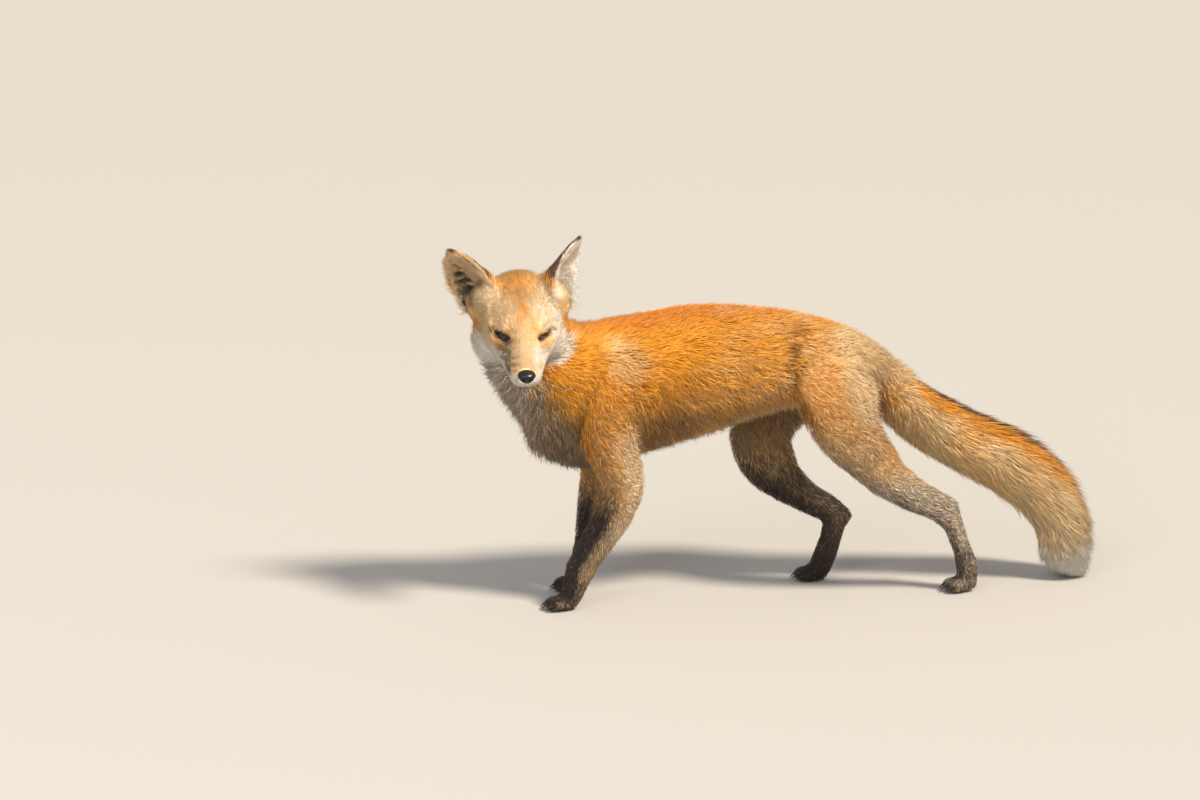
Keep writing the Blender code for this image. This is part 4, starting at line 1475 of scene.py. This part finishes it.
# %% [markdown]
# ## Eyes
#
# A fox's eye is a wet ball with an amber iris and, alone among dogs, an upright slit for a
# pupil. The lids are narrowed against the sun, so only a sliver shows, but the whole ball is
# modelled. The amber iris is painted in dark browns, as painted shade under the narrowed lids.
# Its colours are set by two numbers at each point: how far it is from the axis of sight, and
# how far sideways, which the pupil needs.

# %% The look of the eye
PUPIL_HALF_WIDTH, PUPIL_HALF_HEIGHT = 1.1 * MM, 3.4 * MM

# The front of the eye is clear, smooth and wet, which gives it one small, sharp glint.
wet_eye, eye_shader = new_material("wet eye", 0.12, 1.38)
eye_shader.inputs["Coat Weight"].default_value = 1.0
eye_shader.inputs["Coat Roughness"].default_value = 0.03
# The iris is given dark browns in place of amber: painted shade of the narrowed lids.
iris_in_painted_shade = add(wet_eye, "ShaderNodeValToRGB", i0=read(wet_eye, "gaze"))
for from_pupil, shade in ((0.0, "26160B"), (0.45, "30190B"), (0.62, "180D06"), (0.70, "080505")):
    iris_in_painted_shade.color_ramp.elements.new(from_pupil).color = linear(shade)
iris_in_painted_shade.color_ramp.elements.remove(iris_in_painted_shade.color_ramp.elements[-1])
iris = mix(wet_eye, read(wet_eye, "pupil"), iris_in_painted_shade.outputs[0], linear("060505"))
wet_eye.node_tree.links.new(iris, eye_shader.inputs["Base Color"])


# %% Two eyeballs
def smooth_piece(name, bm, material):
    """A smooth-shaded piece with outward normals, its map and one material."""
    bmesh.ops.recalc_face_normals(bm, faces=bm.faces)
    piece = add_object(name, bm)
    piece.data.shade_smooth()
    piece.data.materials.append(material)
    unwrap(piece)
    return piece


def ball(radii, axes, subdivisions=6):
    """A round ball's bmesh, stretched to its radii and put in place, and its unit points."""
    bm = bmesh.new()
    bmesh.ops.create_icosphere(bm, subdivisions=subdivisions, radius=1.0)
    unit_points = np.array([vert.co for vert in bm.verts])
    for vert in bm.verts:
        vert.co = axes @ Vector([c * r for c, r in zip(vert.co, radii)])
    return bm, unit_points


for side in SIDES:
    bm, on_ball = ball([EYE_RADIUS] * 3, eye_axes(side))
    eye = smooth_piece("eyeball_" + side, bm, wet_eye)
    aside = np.hypot(on_ball[:, 1], on_ball[:, 2]) * EYE_RADIUS
    store(eye.data, "gaze", np.where(on_ball[:, 0] > 0, aside / EYE_RADIUS, 1.0))
    slit_pupil = np.hypot(on_ball[:, 1] * EYE_RADIUS / PUPIL_HALF_WIDTH,
                          on_ball[:, 2] * EYE_RADIUS / PUPIL_HALF_HEIGHT)
    store(eye.data, "pupil", ramp(slit_pupil, 1.1, 0.9) * (on_ball[:, 0] > 0))
    pieces["eyeball_" + side] = (eye, "eye")
say(f"eyeballs {2 * EYE_RADIUS / MM:.0f} mm across")

# %% [markdown]
# ## Rims of the lids
#
# The edge of a fox's lid is bare, black and wet, and draws a fine line round the eye. Each
# rim is a tapered tube, laid on the skin round the slit and pointed at both corners.

# %% Tubes, and the two rims
def tube(bm, path, radii, sides=6, closed=False):
    """Adds a tube along a path to a bmesh. The ends of an open one come to a point."""
    path = np.asarray(path, float)
    ahead = np.roll(path, -1, axis=0) - np.roll(path, 1, axis=0)
    if not closed:
        ahead[0], ahead[-1] = path[1] - path[0], path[-1] - path[-2]
    ahead = unit(ahead)
    up = unit(np.cross(ahead, np.array([0.31, 0.22, 0.92])))
    across = np.cross(ahead, up)
    rings = []
    for index in range(len(path)):
        if not closed and index in (0, len(path) - 1):
            rings.append([bm.verts.new(path[index])])
            continue
        turns = np.arange(sides) * 2 * np.pi / sides
        ring = path[index] + radii[index] * (
            np.cos(turns)[:, None] * up[index] + np.sin(turns)[:, None] * across[index]
        )
        rings.append([bm.verts.new(place) for place in ring])
    # A ring meets the next in squares, and the point at an end in triangles.
    pairs = list(zip(rings, rings[1:])) + ([(rings[-1], rings[0])] if closed else [])
    for first, second in pairs:
        for turn in range(sides):
            after = (turn + 1) % sides
            corners = [first[turn % len(first)], first[after % len(first)],
                       second[after % len(second)], second[turn % len(second)]]
            bm.faces.new(list(dict.fromkeys(corners)))


# %% Lay a rim round each slit
# Moist skin is smooth but not a mirror, so the rim shines along its length.
bare_skin, bare_shader = new_material("bare black skin, moist", 0.32, 1.45)
bare_shader.inputs["Base Color"].default_value = linear("161110")
skin_tree = BVHTree.FromPolygons([Vector(p) for p in here.places], faces_of_skin)
RIM_RADIUS = 1.15 * MM
RIM_STEPS = 56
for side in SIDES:
    axes = eye_axes(side)
    outwards = (axes.to_3x3() @ Vector((1, 0, 0))).normalized()
    heights, ring = [], []
    for turn in np.linspace(0, 2 * np.pi, RIM_STEPS, endpoint=False):
        along = math.cos(turn) * LID_HALF_LENGTH * 0.98
        across = math.copysign(float(half_opening(along, side)) + 0.25 * MM, math.sin(turn))
        start = axes @ Vector((30 * MM, along, across))
        hit = skin_tree.ray_cast(start, -outwards)[0]
        heights.append((axes.inverted() @ hit).x)
        ring.append((along, across))
    heights = np.array(heights)
    for _ in range(3):
        heights = (heights * 2 + np.roll(heights, 1) + np.roll(heights, -1)) / 4
    path = [axes @ Vector((h - 0.1 * MM, *place)) for h, place in zip(heights, ring)]
    thick = [RIM_RADIUS * (0.45 + 0.55 * (1 - abs(a) / LID_HALF_LENGTH)) for a, _ in ring]
    bm = bmesh.new()
    tube(bm, path, thick, closed=True)
    pieces["lid_rim_" + side] = (smooth_piece("lid_rim_" + side, bm, bare_skin), "nose_leather")
say("lids rimmed")

# %% [markdown]
# ## Nose
#
# The nose pad is bare leather with a pebbled grain about half a millimetre across, always
# a little wet. Its nostrils open forwards and curl out sideways into a slit, and a furrow
# runs down the middle to the lip. All of it is pressed into one ball.

# %% The nose pad
NOSE_RADII = (9.8 * MM, 11.2 * MM, 8.8 * MM)
NOSE_GRAIN = 0.55 * MM
# How deep the nostrils, their curls and the furrow are pressed, as shares of the radii.
NOSTRIL_DEPTH, CURL_DEPTH, FURROW_DEPTH = 0.34, 0.13, 0.09

bm, on_nose = ball((1, 1, 1), Matrix.Identity(4))
ahead, aside, above = on_nose.T
flat = np.where(above > 0.45, 0.45 + (above - 0.45) * 0.65, above)
narrow = 1 - 0.22 * ramp(flat, 0.2, -0.8)
sided = np.stack((ahead, np.abs(aside), above), axis=1)
nostril = spot(sided, (0.84, 0.44, -0.10), (0.30, 0.25, 0.27))
curl = stripe(sided, 0.15, (0.80, 0.52, -0.16), (0.42, 0.86, -0.30))
philtrum = np.exp(-(aside / 0.07) ** 2) * ramp(above, 0.25, -0.1) * ramp(ahead, 0.3, 0.6)
press = 1 - NOSTRIL_DEPTH * nostril - CURL_DEPTH * curl * (1 - nostril) - FURROW_DEPTH * philtrum
shaped = np.stack((ahead, aside * narrow, flat), axis=1) * press[:, None] * NOSE_RADII
nose_axes = skull_axes @ Matrix.Translation(nose_place)
bm.verts.ensure_lookup_table()
for vert, place in zip(bm.verts, in_axes(shaped, nose_axes)):
    vert.co = place
say(f"nostrils pressed {NOSTRIL_DEPTH * NOSE_RADII[0] / MM:.1f} mm deep")

# %% The wet leather of the nose
# A thin film of water over the pebbles breaks the shine up into small points.
leather, leather_shader = new_material("wet black nose leather", 0.38, 1.45)
leather_shader.inputs["Specular IOR Level"].default_value = 0.35
leather_shader.inputs["Coat Weight"].default_value = 0.35
leather_shader.inputs["Coat Roughness"].default_value = 0.18
place = add(leather, "ShaderNodeTexCoord").outputs["Object"]
pebbles = add(leather, "ShaderNodeTexVoronoi", Vector=place, Scale=1 / NOSE_GRAIN)
pebble_bump = add(leather, "ShaderNodeBump", Strength=0.35, Distance=0.12 * MM,
                  Height=pebbles.outputs["Distance"])
leather.node_tree.links.new(pebble_bump.outputs[0], leather_shader.inputs["Normal"])
# The nostrils are painted darker than the leather around them: painted shade inside the holes.
nostril_painted_shade = mix(leather, read(leather, "nostril"), linear("0E0C0D"), linear("030303"))
leather.node_tree.links.new(nostril_painted_shade, leather_shader.inputs["Base Color"])
nose = smooth_piece("nose_pad", bm, leather)
store(nose.data, "nostril", nostril)
pieces["nose_pad"] = (nose, "nose_leather")
say(f"the nose has a grain of {NOSE_GRAIN / MM:.2f} mm")

# %% [markdown]
# ## Whiskers
#
# Stiff black whiskers grow from the upper lip in rows and sweep back, with a pair above each
# eye. They are thick bristles, so each is a tapered tube of its own, bent like a bow.

# %% Bristles of the lip and brow
# A whisker is the same keratin as the hair, thick enough to look black and polished.
bristle, bristle_shader = new_material("whisker", 0.4, HAIR_INDEX)
bristle_shader.inputs["Base Color"].default_value = linear("1E1815")
WHISKER_RADIUS = 0.22 * MM
BROW_ROOTS = [(0.036, 0.026, 0.026), (0.033, 0.029, 0.027)]
draws = np.random.default_rng(40)
for side, sign in SIDES.items():
    bm = bmesh.new()
    lip_roots = [(0.0860 - 0.0052 * step, 0.0165 + 0.0010 * step, -0.0105 - 0.0042 * row)
                 for row in range(3) for step in range(3)]
    for root in lip_roots + BROW_ROOTS:
        if root in BROW_ROOTS:
            long, way, bend = draws.uniform(16, 22) * MM, (0.2, 0.35, 0.9), (-0.5, -0.1, 0.1)
        else:
            long = draws.uniform(26, 46) * MM
            way, bend = (-0.28, 0.9, -0.22 + draws.uniform(-0.25, 0.2)), (-0.55, -0.1, -0.25)
        way, bend = unit(np.array(way)), np.array(bend)
        start = np.array(root) - way * 1.5 * MM
        share = np.linspace(0, 1, 9)[:, None]
        line = start + (way * share + bend * share ** 2 * 0.55) * long
        line[:, 1] *= sign
        tube(bm, in_axes(line, skull_axes), WHISKER_RADIUS * (1.02 - share[:, 0]), sides=5)
    pieces["whiskers_" + side] = (smooth_piece("whiskers_" + side, bm, bristle), "nose_leather")
say("whiskers set")

# %% [markdown]
# ## Claws
#
# The claws are already the right shape in the imported model, so they keep their solids and
# get the look of horn: dark and hard.

# %% Horn on the imported claws
# Horn is dense keratin worn smooth by the ground, so it has a soft, narrow gleam.
horn, horn_shader = new_material("dark horn", 0.35, 1.54)
horn_shader.inputs["Base Color"].default_value = linear("2B2420")
claws = [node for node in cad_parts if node.startswith("claw")]
for node in claws:
    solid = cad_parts[node]
    if not solid.material_slots:
        solid.data.materials.append(horn)
    for own_slot in solid.material_slots:
        own_slot.link = "OBJECT"
        own_slot.material = horn
say(f"{len(claws)} claws of horn")

# %% [markdown]
# ## Onto the body
#
# Every piece rides on the fox's one body, and the solids that the skin, eyes and nose stand
# for are hidden.

# %% Ride, replace and measure
for piece, slot in pieces.values():
    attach(piece, "root")
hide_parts(*flesh_nodes)
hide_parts("nose")
for side in SIDES:
    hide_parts("eye_" + side)
seen_low, seen_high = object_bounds()
say(f"visual box {[round(c / MM) for c in seen_high - seen_low]} mm, "
    f"CAD box {[round(c / MM) for c in cad_high - cad_low]} mm")
